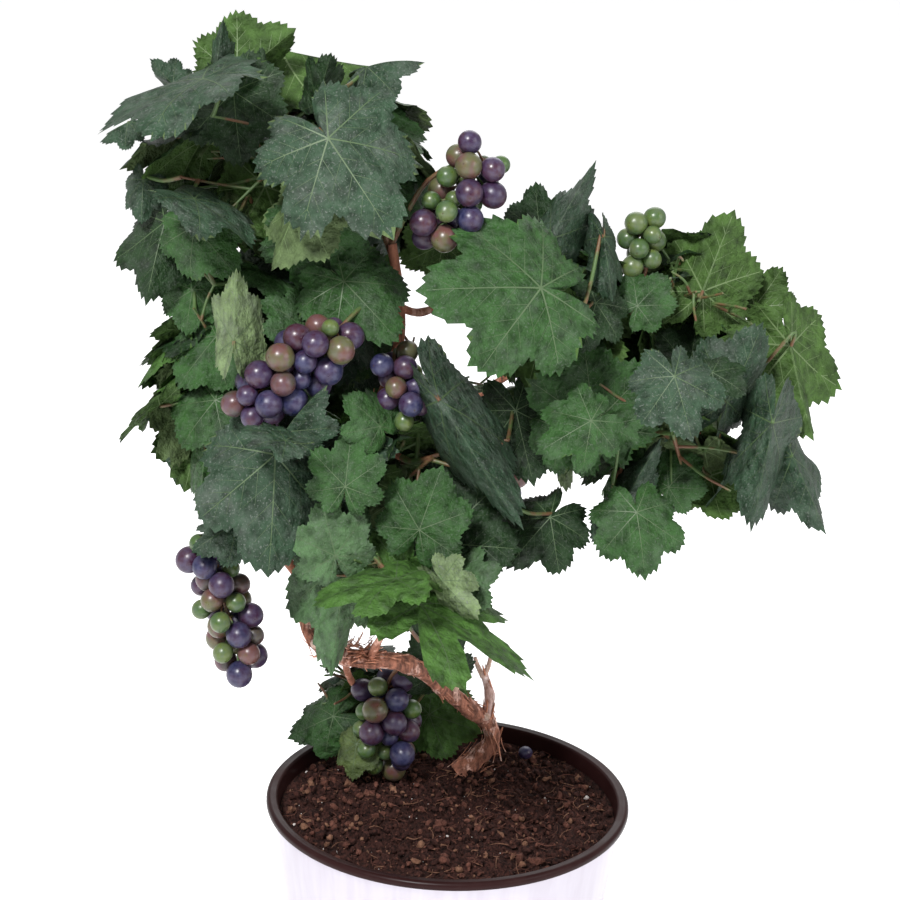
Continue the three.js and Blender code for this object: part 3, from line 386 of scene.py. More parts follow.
class Mass:
    """The twigs and leaves that keep to one space of the crown."""

    def __init__(self, name, seed):
        self.name, self.seed = name, seed
        bough, centre, reach, self.shoots, self.count, shown = MASSES[name]
        self.centre, self.reach = np.array(centre, float), np.array(reach, float)
        foot, before = (np.array(p, float) for p in reversed(LIMBS[bough][0][-2:]))
        straight_on = foot + unit(foot - before) * np.linalg.norm(foot - self.centre) / 3
        self.stem = np.array([foot, straight_on, self.centre])
        self.roots, self.ends = [], []
        for shoot in range(self.shoots):
            height = 1 - 2 * (shoot + 0.5) / self.shoots
            angle = shoot * GOLDEN_ANGLE + 2 * math.pi * chance(seed, shoot, 90)
            flat = math.sqrt(1 - height * height)
            way = np.array([flat * math.cos(angle), flat * math.sin(angle), height])
            self.ends.append(way * self.reach * SHOOT_REACH + self.centre)
            self.roots.append(mix(straight_on, self.centre, (shoot + 1) / self.shoots))
        self.leaves = [Leaf(junction, tip, turn, bend, fold, None, tone, bays)
                       for junction, tip, turn, bend, fold, tone, bays in shown]
        self.shown = len(shown)

    def grow_twigs(self):
        """Finer twigs branch off each shoot, within the same reach."""
        for shoot in range(self.shoots):
            for twig in range(3):
                def shake(channel):
                    return chance(self.seed, shoot * 3 + twig, 200 + channel) - 0.5
                root = mix(self.roots[shoot], self.ends[shoot], 0.35 + 0.25 * twig)
                way = unit(self.ends[shoot] - self.centre) + 1.7 * np.array([shake(0), shake(1), shake(2)])
                goal = unit(way) * self.reach * TWIG_REACH
                self.ends.append(self.centre + mix((root - self.centre), goal, 0.7))
                self.roots.append(root)

    def nearest_twig_point(self, point):
        roots, ends = np.array(self.roots), np.array(self.ends)
        along = ends - roots
        share = ((point - roots) * along).sum(1) / (along ** 2).sum(1)
        places = roots + along * np.clip(share, 0.3, 0.97)[:, None]
        return places[np.argmin(np.linalg.norm(places - point, axis=1))]

    def share_of_reach(self, points):
        return np.linalg.norm((points - self.centre) / self.reach, axis=-1)

    def leaf_by_rule(self, index, attempt, count, sizes):
        def share(channel):
            return chance(self.seed, index, attempt * 16 + channel)

        def shake(channel):
            return np.array([share(channel + i) - 0.5 for i in range(3)])

        height = 1 - 2 * (index % count + 0.5) / count
        angle = index * GOLDEN_ANGLE + self.seed + attempt * 1.7
        flat = math.sqrt(1 - height * height)
        outward = unit(np.array([flat * math.cos(angle), flat * math.sin(angle), height]) + shake(0) * 0.7)
        junction = outward * self.reach * mix(0.25, 0.72, share(3)) + self.centre
        face = unit(outward * 0.8 + UP * 0.5 + shake(4) * 0.7)
        hang = outward * 0.5 - UP * 0.6 + shake(7) * 1.2
        hang = unit(hang - (hang @ face) * face)
        tip = junction + hang * mix(sizes[0], sizes[1], share(10))
        # The darkest of these tones is painted shade, a darkened copy of the mid green.
        tones = ("dark_and_shaded", "mid", "dusty", "mid", "dark_and_shaded", "mid", "dusty", "young")
        tone = tones[int(share(13) * len(tones))]
        bend, fold, bays = mix(6, 26, share(11)), mix(-26, 12, share(12)), mix(0.5, 1.2, share(14))
        return Leaf(junction, tip, 0, bend, fold, face, tone, bays)


class Crown:
    """All masses, and the tests that a leaf of the rule has to pass."""

    def __init__(self):
        self.masses = [Mass(name, seed) for seed, name in enumerate(MASSES)]
        lines = [(smooth_route(points, 2), radii[0]) for points, radii in LIMBS.values()]
        self.limb_starts = np.vstack([line[:-1] for line, _ in lines])
        self.limb_ends = np.vstack([line[1:] for line, _ in lines])
        self.limb_gaps = np.concatenate([[radius + LIMB_SPACING] * (len(line) - 1) for line, radius in lines])
        berries = [berries_of(name, seed + 40, SOLID_BERRIES) for seed, name in enumerate(BUNCHES)]
        self.berries = np.vstack([centres for centres, _, _ in berries])
        self.berry_radii = np.concatenate([radii for _, radii, _ in berries])
        shown = [leaf for mass in self.masses for leaf in mass.leaves]
        self.leaves = list(shown)
        self.shown_middles = np.array([mix(leaf.junction, leaf.tip, 0.3) for leaf in shown])
        self.shown_radii = np.array([leaf.length * 0.8 for leaf in shown])

    def fits(self, mass, leaf, spacing):
        inside = (mass.share_of_reach(leaf.samples) < SPACE_LIMIT).all()
        above_pot = (leaf.samples[:, 2] > POT_HEIGHT + 5).all()
        own = mass.share_of_reach(leaf.junction)
        if not (inside and above_pot and all(m.share_of_reach(leaf.junction) >= own for m in self.masses)):
            return False
        back = unit(mass.nearest_twig_point(leaf.junction) - leaf.junction)
        if back @ leaf.normal >= 0.2 or back @ leaf.start >= 0.4:
            return False
        if not (to_segments(leaf.samples, self.limb_starts, self.limb_ends) > self.limb_gaps).all():
            return False
        apart = np.linalg.norm(leaf.samples[:, None] - self.berries, axis=2)
        if not (apart > self.berry_radii + BERRY_SPACING).all():
            return False
        return (self.leaves_sky_open(leaf)
                and not self.in_front(leaf, self.shown_middles, self.shown_radii)
                and not self.in_front(leaf, self.berries, self.berry_radii)
                and self.clear_of_leaves(leaf, spacing))

    def clear_of_leaves(self, leaf, spacing):
        others = np.vstack([other.samples for other in self.leaves])
        return (np.linalg.norm(leaf.samples[:, None] - others, axis=2) > spacing).all()

    def leaves_sky_open(self, leaf):
        for at, radius in SKY_GAPS:
            way = np.array(at) - VIEW_POINT
            beyond = VIEW_POINT + way * 1.5
            if not (to_segments(leaf.samples, VIEW_POINT[None], beyond[None]) > radius).all():
                return False
        return True

    def in_front(self, leaf, middles, radii):
        """Whether part of the leaf hides one of the given places from the view point."""
        away = np.linalg.norm(middles - VIEW_POINT, axis=1)[:, None]
        ahead = np.linalg.norm(leaf.samples - VIEW_POINT, axis=1) < away
        starts, beyond = VIEW_POINT[None] + 0 * leaf.samples, 2 * leaf.samples - VIEW_POINT
        near = to_segments(middles, starts, beyond) < radii[:, None]
        return (ahead & near).any()

    def grow(self):
        for mass in self.masses:
            self.add_leaves(mass, 0, mass.count, LEAF_SIZE, LEAF_SPACING)
        for mass in self.masses:
            mass.grow_twigs()
            self.add_leaves(mass, 100, mass.count * FINE_SHARE, FINE_SIZE, FINE_SPACING)

    def add_leaves(self, mass, first, count, sizes, spacing):
        for index in range(first, first + count):
            for attempt in range(ATTEMPTS):
                leaf = mass.leaf_by_rule(index, attempt, count, sizes)
                if self.fits(mass, leaf, spacing):
                    mass.leaves.append(leaf)
                    self.leaves.append(leaf)
                    break


# Meshes

class Heap:
    """Vertices and faces of many small shapes that become one piece."""

    def __init__(self):
        self.points, self.faces, self.slots, self.count = [], [], [], 0

    def add(self, points, faces, slot=0):
        faces = np.asarray(faces)
        self.points.append(np.asarray(points, float))
        self.faces.append(faces + self.count)
        self.slots.append(np.full(len(faces), slot) if np.isscalar(slot) else np.asarray(slot))
        self.count += len(points)

    def piece(self, name, slot, materials, replaced):
        """The piece rides on the part's one body and takes the place of the given nodes."""
        mesh = bpy.data.meshes.new(name)
        points = np.vstack(self.points) * MM
        sizes = np.concatenate([np.full(len(f), f.shape[1]) for f in self.faces])
        mesh.vertices.add(len(points))
        mesh.vertices.foreach_set("co", points.ravel())
        mesh.loops.add(int(sizes.sum()))
        mesh.loops.foreach_set("vertex_index", np.concatenate([f.ravel() for f in self.faces]))
        mesh.polygons.add(len(sizes))
        mesh.polygons.foreach_set("loop_start", np.concatenate([[0], np.cumsum(sizes)[:-1]]))
        mesh.polygons.foreach_set("loop_total", sizes)
        for material in materials:
            mesh.materials.append(material)
        mesh.polygons.foreach_set("material_index", np.concatenate(self.slots))
        mesh.polygons.foreach_set("use_smooth", np.ones(len(sizes), bool))
        mesh.update()
        mesh.validate()
        made = bpy.data.objects.new(name, mesh)
        bpy.context.scene.collection.objects.link(made)
        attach(made, "root")
        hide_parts(*replaced)


def noise_at(x, y, z):
    """Smooth noise around zero."""
    return noise.noise(Vector((x, y, z)))


def ring_faces(rings, sides):
    """Quads between rings of points, each ring as long as the others."""
    ring, side = np.meshgrid(np.arange(rings - 1), np.arange(sides), indexing="ij")
    a = (ring * sides + side).ravel()
    b = (ring * sides + (side + 1) % sides).ravel()
    return np.column_stack([a, b, b + sides, a + sides])


def tube_rings(route, radii, sides, relief=None):
    """Rings of points round a route, with a radius for each ring."""
    route = np.asarray(route, float)
    along = unit(np.vstack([route[1] - route[0], route[2:] - route[:-2], route[-1] - route[-2]]))
    across = np.array([0, 1.0, 0]) if abs(along[0][2]) > 0.9 else UP
    angles = np.arange(sides) * 2 * math.pi / sides
    rings = []
    for i, point in enumerate(route):
        across = unit(across - (across @ along[i]) * along[i])
        third = np.cross(along[i], across)
        radius = radii[i] * (relief(i, angles) if relief else 1) * np.ones(sides)
        sideways, upward = np.outer(radius * np.cos(angles), across), np.outer(radius * np.sin(angles), third)
        rings.append(point + sideways + upward)
    return np.vstack(rings)


def add_tube(heap, route, radii, sides, slot=0, relief=None):
    """A tube whose ends are closed by a point."""
    radii = np.broadcast_to(radii, len(route)).astype(float)
    points = tube_rings(route, radii, sides, relief)
    heap.add(points, ring_faces(len(route), sides), slot)
    for end, ring in ((route[0], 0), (route[-1], len(route) - 1)):
        rim = points[ring * sides:(ring + 1) * sides]
        side = np.arange(sides)
        fan = np.column_stack([(side + 1) % sides, side, np.full(sides, sides)])
        heap.add(np.vstack([rim, end]), fan if ring == 0 else fan[:, [1, 0, 2]], slot)


def ball_mesh(segments, rings):
    """A round ball of radius 1 with its poles along Z."""
    lat = np.linspace(0, math.pi, rings + 1)[1:-1]
    lon = np.arange(segments) * 2 * math.pi / segments
    body = [(math.sin(a) * math.cos(b), math.sin(a) * math.sin(b), math.cos(a)) for a in lat for b in lon]
    points = np.array(body + [(0, 0, 1), (0, 0, -1)])
    side = np.arange(segments)
    last = (rings - 2) * segments
    top = np.column_stack([side, (side + 1) % segments, np.full(segments, len(body))])
    low = np.column_stack([last + (side + 1) % segments, last + side, np.full(segments, len(body) + 1)])
    return points, ring_faces(rings - 1, segments)[:, ::-1], np.vstack([top, low])


def turned(name, slot, material, profile, sides, node, wobble=0):
    """A piece of revolution from a closed profile of radius and height."""
    profile = np.array(profile + profile[:1], float)
    angles = np.arange(sides) * 2 * math.pi / sides
    rings = [np.column_stack([r * np.cos(angles), r * np.sin(angles), z + 0 * angles]) for r, z in profile]
    heap = Heap()
    points = np.vstack(rings)
    if wobble:
        way = np.column_stack([points[:, :2] / 60, points[:, 2] / 200])
        shift = np.array([noise_at(*place) for place in way]) * wobble
        points[:, :2] *= (1 + shift / RIM_RADIUS)[:, None]
    heap.add(points, ring_faces(len(profile), sides))
    heap.piece(name, slot, [material], [node])


# Materials

class Value:
    """A socket of a material's nodes that can be calculated with."""

    def __init__(self, shade, socket):
        self.shade, self.socket = shade, socket

    def _math(self, operation, first, second):
        kind = "ShaderNodeVectorMath" if self.socket.type in ("VECTOR", "RGBA") else "ShaderNodeMath"
        return self.shade.node(kind, {"operation": operation}, {0: first, 1: second})

    def __add__(self, other):
        return self._math("ADD", self, other)

    def __radd__(self, other):
        return self._math("ADD", other, self)

    def __sub__(self, other):
        return self._math("SUBTRACT", self, other)

    def __rsub__(self, other):
        return self._math("SUBTRACT", other, self)

    def __mul__(self, other):
        return self._math("MULTIPLY", self, other)

    def __rmul__(self, other):
        return self._math("MULTIPLY", other, self)


class Shade:
    """A material of one shader, with the values that feed it."""

    def __init__(self, name, **uniform):
        self.material = bpy.data.materials.new(name)
        self.material.use_nodes = True
        self.tree = self.material.node_tree
        self.shader = self.tree.nodes["Principled BSDF"]
        self.set(**uniform)

    def set(self, **sockets):
        for name, value in sockets.items():
            self.feed(self.shader.inputs[name.replace("_", " ")], value)

    def feed(self, socket, value):
        if isinstance(value, Value):
            self.tree.links.new(value.socket, socket)
        elif socket.type == "RGBA":
            socket.default_value = (*value[:3], 1)
        elif socket.type == "VECTOR" and np.isscalar(value):
            socket.default_value = (value,) * 3
        else:
            socket.default_value = value

    def node(self, kind, settings=None, inputs=None, output=0):
        made = self.tree.nodes.new(kind)
        for name, value in (settings or {}).items():
            setattr(made, name, value)
        for key, value in (inputs or {}).items():
            self.feed(made.inputs[key], value)
        return Value(self, made.outputs[output])

    def place(self, stretch=(1, 1, 1)):
        """The place on the object, in metres, stretched along its axes."""
        place = self.node("ShaderNodeTexCoord", output="Object")
        return self.node("ShaderNodeVectorMath", {"operation": "MULTIPLY"}, {0: place, 1: stretch})

    def noise(self, size, detail=3, roughness=0.55, stretch=(1, 1, 1)):
        """Soft spots of the given size in millimetres, as a value around a half."""
        inputs = {"Vector": self.place(stretch), "Scale": 1 / (size * MM),
                  "Detail": detail, "Roughness": roughness}
        return self.node("ShaderNodeTexNoise", {}, inputs)

    def cells(self, size):
        """Rounded cells of the given size in millimetres."""
        inputs = {"Vector": self.place(), "Scale": 1 / (size * MM)}
        return self.node("ShaderNodeTexVoronoi", {"feature": "SMOOTH_F1"}, inputs)

    def between(self, value, low, high, to_low=0.0, to_high=1.0):
        inputs = {"Value": value, "From Min": low, "From Max": high, "To Min": to_low, "To Max": to_high}
        return self.node("ShaderNodeMapRange", {"clamp": True, "interpolation_type": "SMOOTHSTEP"}, inputs)

    def mix(self, share, first, second):
        inputs = {0: share, 6: first, 7: second}
        return self.node("ShaderNodeMix", {"data_type": "RGBA"}, inputs, output=2)

    def bump(self, height, strength, distance):
        """Relief from a value, its depth in millimetres."""
        inputs = {"Height": height, "Strength": strength, "Distance": distance * MM}
        self.set(Normal=self.node("ShaderNodeBump", {}, inputs))
        return self


LEAF_DUST = (0.15, 0.165, 0.15)
QUILT_SIZE, QUILT_DEPTH = 5.5, 3


def leaf_shade(name, colour, dust, roughness=0.52):
    """Quilted leaf skin with a little mottling, and a pale dusting that lies in specks and films."""
    shade = Shade("leaf_" + name)
    mottle = shade.noise(9, 4)
    film = shade.between(shade.noise(16, 5, 0.7), 0.42, 0.78)
    specks = shade.between(shade.noise(1.1, 2, 0.6), 0.58, 0.68)
    bulges = shade.cells(QUILT_SIZE)
    quilt = shade.between(bulges, 0.1, 0.55)
    deep, high = [0.5 * c for c in colour], [min(1.35 * c, 1) for c in colour]
    skin = shade.mix(shade.between(mottle, 0.35, 0.65) * 0.6 + quilt * 0.4, deep, high)
    cover = film * (0.42 * dust) + specks * (0.6 * dust)
    relief = shade.noise(2.2, 3) * 0.6 - bulges
    shade.set(Base_Color=shade.mix(cover, skin, LEAF_DUST), Roughness=roughness + cover * 0.3)
    shade.set(Specular_IOR_Level=0.2)
    return shade.bump(relief, 1.0, QUILT_DEPTH).material


# The darkest leaf tone is the mid green at under half its brightness: painted shade for leaves that lie in
# shadow among the others.
LEAF_TONES = {
    "dusty": ((0.021, 0.045, 0.024), 0.8),
    "dark_and_shaded": ((0.009, 0.026, 0.007), 0.35),
    "mid": ((0.021, 0.06, 0.014), 0.4),
    "bright": ((0.042, 0.095, 0.013), 0.2),
    "olive": ((0.055, 0.08, 0.022), 0.25),
    "pale": ((0.12, 0.17, 0.075), 0.9),
    "pale_green": ((0.05, 0.1, 0.04), 0.5),
    "young": ((0.045, 0.105, 0.02), 0.15),
}
UNDERSIDES = {"under": (0.042, 0.085, 0.018), "under_pale": (0.07, 0.105, 0.04)}
TONE_NAMES = list(LEAF_TONES) + list(UNDERSIDES)


def leaf_materials():
    made = [leaf_shade(name, colour, dust) for name, (colour, dust) in LEAF_TONES.items()]
    made += [leaf_shade(name, colour, 0.1, roughness=0.65) for name, colour in UNDERSIDES.items()]
    for name, colour in (("vein", (0.05, 0.084, 0.034)), ("vein_under", (0.09, 0.14, 0.05))):
        shade = Shade(name, Roughness=0.55)
        shade.set(Base_Color=shade.mix(shade.noise(6), colour, [1.3 * c for c in colour]))
        made.append(shade.material)
    return made


def green_stalk_material():
    shade = Shade("green_stalk", Roughness=0.5)
    blush = shade.between(shade.noise(14, 3), 0.42, 0.6)
    shade.set(Base_Color=shade.mix(blush, (0.06, 0.11, 0.03), (0.13, 0.06, 0.03)))
    return shade.bump(shade.noise(1.2, 3), 0.4, 0.3).material


def bark_material(name, low, high, peel, depth):
    shade = Shade(name, Roughness=0.85)
    fibres = shade.noise(3.2, 6, 0.65, (1, 1, 0.35))
    patches = shade.between(shade.noise(9, 4, 0.6), 0.42, 0.62)
    skin = shade.mix(shade.between(fibres, 0.3, 0.7), low, high)
    pale = shade.between(fibres * patches, 0.34, 0.62)
    shade.set(Base_Color=shade.mix(pale, skin, peel))
    return shade.bump(fibres + shade.noise(0.9, 4) * 0.5, 0.9, depth).material


def berry_material(name, colour, blush, bloom):
    shade = Shade("berry_" + name, Specular_IOR_Level=0.42)
    turn = shade.between(shade.noise(11, 2), 0.4, 0.62)
    skin = shade.mix(turn, colour, blush)
    film = shade.between(shade.noise(3.5, 5, 0.65), 0.3, 0.72)
    cover = film * (0.7 * bloom)
    shade.set(Base_Color=shade.mix(cover, skin, (0.1, 0.1, 0.18)), Roughness=0.27 + cover * 0.4)
    return shade.bump(shade.noise(0.7, 3), 0.15, 0.1).material


BERRY_TONES = {
    "blue": ((0.01, 0.011, 0.045), (0.026, 0.01, 0.034), 0.6),
    "violet": ((0.026, 0.009, 0.034), (0.04, 0.01, 0.022), 0.5),
    "plum": ((0.048, 0.012, 0.018), (0.024, 0.009, 0.028), 0.4),
    "rosy": ((0.085, 0.034, 0.03), (0.06, 0.048, 0.028), 0.35),
    "olive": ((0.085, 0.085, 0.028), (0.11, 0.045, 0.035), 0.25),
    "green": ((0.045, 0.09, 0.016), (0.09, 0.125, 0.03), 0.3),
}


def berry_materials():
    made = [berry_material(name, *tone) for name, tone in BERRY_TONES.items()]
    scar = Shade("berry_scar", Base_Color=(0.06, 0.035, 0.02), Roughness=0.8)
    return made + [scar.material]


def soil_material(name, low, high):
    shade = Shade(name, Roughness=1.0, Specular_IOR_Level=0.2)
    grains = shade.noise(2.4, 6, 0.7)
    patches = shade.noise(22, 3)
    skin = shade.mix(shade.between(grains, 0.32, 0.7), low, high)
    shade.set(Base_Color=shade.mix(shade.between(patches, 0.4, 0.7, 0, 0.4), skin, low))
    return shade.bump(grains + shade.cells(2.5) * 0.4, 1.0, 1.6).material


def pot_material():
    shade = Shade("pot_plastic", Specular_IOR_Level=0.1)
    haze = shade.between(shade.noise(25, 5, 0.6), 0.4, 0.7)
    dust = shade.between(shade.noise(0.9, 2), 0.66, 0.75)
    shade.set(Base_Color=shade.mix(haze * 0.2 + dust * 0.3, (0.018, 0.006, 0.006), (0.045, 0.018, 0.017)))
    shade.set(Roughness=0.3 + haze * 0.15)
    return shade.bump(shade.noise(30, 2), 0.15, 0.5).material


def sleeve_material():
    shade = Shade("sleeve_metal", Metallic=0.85)
    # Vertical streaks in the metal's colour are painted reflections, lighter and darker bands standing in for
    # what the smooth sleeve mirrors; they also vary its roughness and bumps.
    reflection_streaks = shade.noise(7, 4, 0.5, (1, 1, 0.08))
    haze = shade.noise(40, 3)
    tone = shade.between(reflection_streaks, 0.35, 0.65) * 0.7 + shade.between(haze, 0.35, 0.65) * 0.3
    shade.set(Base_Color=shade.mix(tone, (0.465, 0.435, 0.49), (0.525, 0.5, 0.555)))
    shade.set(Roughness=0.3 + reflection_streaks * 0.12)
    return shade.bump(haze + reflection_streaks * 0.2, 0.25, 0.5).material


# Leaves

def outline_of(bays, seed, teeth_between):
    """Angles and reaches of the toothed outline: the tips of the teeth and the notches between them."""
    half = []
    for start, end, teeth in zip(MAIN_VEINS, MAIN_VEINS[1:] + [NOTCH_EDGE], teeth_between):
        half += list(np.linspace(start, end, teeth + 1)[:-1])
    half = np.array(half + [NOTCH_EDGE])
    tips = np.concatenate([-half[:0:-1], half])
    rng = np.random.default_rng(seed)
    tips = tips + rng.uniform(-0.8, 0.8, len(tips)) * (np.abs(tips) > 0)
    inner, outer = np.minimum(abs(tips[:-1]), abs(tips[1:])), np.maximum(abs(tips[:-1]), abs(tips[1:]))
    notches = mix(inner, outer, 0.66) * np.sign(tips[:-1] + tips[1:])
    angles = np.concatenate([[v for pair in zip(tips[:-1], notches) for v in pair], [tips[-1], 180]])
    away = np.abs(angles)
    deep = bays * (1 + 0.25 * np.sign(angles) * rng.uniform(-1, 1))
    cut = sum(deep * depth * np.exp(-(((away - at) / width) ** 2)) for at, depth, width in BAYS)
    reach = np.interp(away, *zip(*HULL)) - cut
    size = TOOTH * rng.uniform(0.55, 1.75, len(angles)) * np.where(np.arange(len(angles)) % 2, -0.55, 1)
    size[np.isin(np.round(away), MAIN_VEINS)] *= 1.5
    size[away > TOOTHED_UP_TO] = 0
    return np.radians(angles), reach, size * (0.5 + 0.5 * reach)


def relief_of(leaf, rng):
    """How far the blade lifts off its plain bent shape: by pleats, and at its wavy, curled margin."""
    veins = np.radians([-v for v in MAIN_VEINS[:0:-1]] + MAIN_VEINS)
    phases = rng.uniform(0, 2 * math.pi, len(MARGIN_WAVES))
    strength = rng.uniform(1.2, 2.4)
    curl, tilt, crumple = rng.uniform(0.01, 0.08), rng.uniform(0, 0.05), rng.uniform(0.004, 0.011)

    def lift(angle, share):
        away = np.abs(np.asarray(angle)[..., None] - veins).min(-1)
        pleat = np.sin(np.clip(away / PLEAT_SPREAD, 0, 1) * math.pi / 2) ** 2 * PLEAT_DEPTH * share
        waves = zip(MARGIN_WAVES, phases)
        wavy = sum(size * np.sin(count * angle + phase) for (count, size), phase in waves) * share ** 3
        curled = (curl + tilt * np.sin(angle + phases[0])) * share ** 4
        crumpled = crumple * np.sin(7 * angle + 9 * share + phases[1]) * share
        return leaf.length * math.cos(leaf.fold) * (pleat + strength * wavy - curled + crumpled)
    return lift


def add_leaf(heap, leaf, seed, detail):
    """Both faces of the blade, which meet at the rim, and the veins on each."""
    rng = np.random.default_rng(seed)
    rings = detail.rings
    angles, reach, teeth = outline_of(leaf.bays, seed, detail.teeth)
    lift = relief_of(leaf, rng)
    sides = len(angles)
    radii = [share * (reach + teeth * max(share - 0.8, 0) * 5) for share in rings]
    upper_tone = TONE_NAMES.index(leaf.tone)
    under = TONE_NAMES.index("under_pale" if leaf.tone in ("dusty", "olive", "pale") else "under")
    fan = np.column_stack([np.zeros(sides, int), 1 + np.arange(sides), 1 + (np.arange(sides) + 1) % sides])
    quads = ring_faces(len(rings), sides)[:, [0, 3, 2, 1]] + 1
    for lower in (False, True):
        sheet = [leaf.blade(np.zeros(1), np.zeros(1), np.full(1, -LEAF_THICKNESS * lower))]
        for share, radius in zip(rings, radii):
            gap = LEAF_THICKNESS * lower * (share < 1)
            u, v = leaf.length * radius * np.cos(angles), leaf.length * radius * np.sin(angles)
            sheet.append(leaf.blade(u, v, lift(angles, share) - gap))
        points = np.vstack(sheet)
        heap.add(points, fan[:, ::-1] if lower else fan, under if lower else upper_tone)
        heap.add(points, quads if lower else quads[:, ::-1], under if lower else upper_tone)
    add_veins(heap, leaf, lift, angles, reach, detail)


def add_veins(heap, leaf, lift, angles, reach, detail):
    """Flat ribbons: the main veins out to the lobes, and side veins that branch off them."""
    lines = []
    for main in [-v for v in MAIN_VEINS[:0:-1]] + MAIN_VEINS:
        way = math.radians(main)
        length = np.interp(way, angles, reach) * 0.96
        steps = np.linspace(0, length, detail.main_points)
        middle = np.outer(steps, [math.cos(way), math.sin(way)])
        lines.append((middle, mix(*MAIN_VEIN_WIDTH, steps / length), True))
        for branch in range(4):
            start = length * (0.22 + 0.18 * branch)
            for turn in (-1, 1):
                if abs(main) == MAIN_VEINS[-1] and branch > 1:
                    continue
                heading = way + turn * math.radians(48 - 5 * branch)
                step = np.linspace(0, 0.34 * (length - start) + 0.1, detail.side_points)
                line = start * np.array([math.cos(way), math.sin(way)])
                line = line + np.outer(step, [math.cos(heading), math.sin(heading)])
                at, out = np.arctan2(line[:, 1], line[:, 0]), np.hypot(line[:, 0], line[:, 1])
                line *= np.minimum(1, 0.93 * np.interp(at, angles, reach) / out)[:, None]
                width = mix(*SIDE_VEIN_WIDTH, np.linspace(0, 1, detail.side_points))
                lines.append((line, width, detail.side_veins_under))
    for line, width, also_under in lines:
        way = unit(np.gradient(line, axis=0))
        across = np.column_stack([-way[:, 1], way[:, 0]]) * width[:, None]
        for side, slot in ((1, len(TONE_NAMES)), (-1, len(TONE_NAMES) + 1)):
            if side < 0 and not also_under:
                continue
            edges = []
            for sign in (-1, 1):
                u, v = (line + sign * across * (1 if side > 0 else UNDER_VEIN_WIDER)).T
                angle = np.arctan2(v, u)
                share = np.hypot(u, v) / np.maximum(np.interp(angle, angles, reach), 0.1)
                under = -LEAF_THICKNESS * (1 - share ** 4) - UNDER_VEIN_RISE
                rise = UPPER_VEIN_RISE if side > 0 else under
                edges.append(leaf.blade(u * leaf.length, v * leaf.length, lift(angle, share) + rise))
            count = len(line)
            row = np.arange(count - 1)
            quad = np.column_stack([row, row + 1, row + 1 + count, row + count])
            heap.add(np.vstack(edges), quad[:, ::-1] if side > 0 else quad, slot)


def petiole_route(mass, leaf):
    root = mass.nearest_twig_point(leaf.junction)
    under = leaf.blade(np.zeros(1), np.zeros(1), np.full(1, -LEAF_THICKNESS - 0.6))[0]
    notch = leaf.junction - 0.14 * leaf.length * leaf.start - 0.1 * leaf.length * leaf.normal
    sag = np.array([0, 0, -0.08 * np.linalg.norm(root - notch)])
    return smooth_route([under, notch, mix(notch, root, 0.5) + sag, root], 4)


def foliage(crown):
    leaf_slots = leaf_materials()
    stalk = green_stalk_material()
    for mass in crown.masses:
        blades, twigs = Heap(), Heap()
        for index, leaf in enumerate(mass.leaves):
            detail = SHOWN_DETAIL if index < mass.shown else FILLER_DETAIL
            add_leaf(blades, leaf, mass.seed * 1000 + index, detail)
            route = petiole_route(mass, leaf)
            radii = PETIOLE_RADIUS * np.linspace(0.9, 1.1, len(route))
            add_tube(twigs, route, radii, detail.stalk_sides)
        add_tube(twigs, smooth_route(mass.stem, 6), np.linspace(STEM_RADIUS, SHOOT_RADIUS, 13), 10)
        for i, (root, end) in enumerate(zip(mass.roots, mass.ends)):
            shoot = i < mass.shoots
            bow = np.array([chance(mass.seed, i, 300 + axis) - 0.5 for axis in range(3)]) * 6
            route = smooth_route([root, mix(root, end, 0.5) + bow * (not shoot), end], 5)
            radii = np.linspace(SHOOT_RADIUS if shoot else TWIG_RADIUS, 0.6, len(route))
            add_tube(twigs, route, radii, 8)
        blades.piece("foliage_" + mass.name, "foliage", leaf_slots, ["leaves_" + mass.name])
        twigs.piece("twigs_" + mass.name, "foliage", [stalk], ["leaves_" + mass.name])


# Fruit

def basis_toward(way):
    """Three axes as rows, the last one along the given way."""
    way = unit(way)
    first = unit(np.cross(way, UP if abs(way[2]) < 0.9 else np.array([1.0, 0, 0])))
    return np.array([first, np.cross(way, first), way])


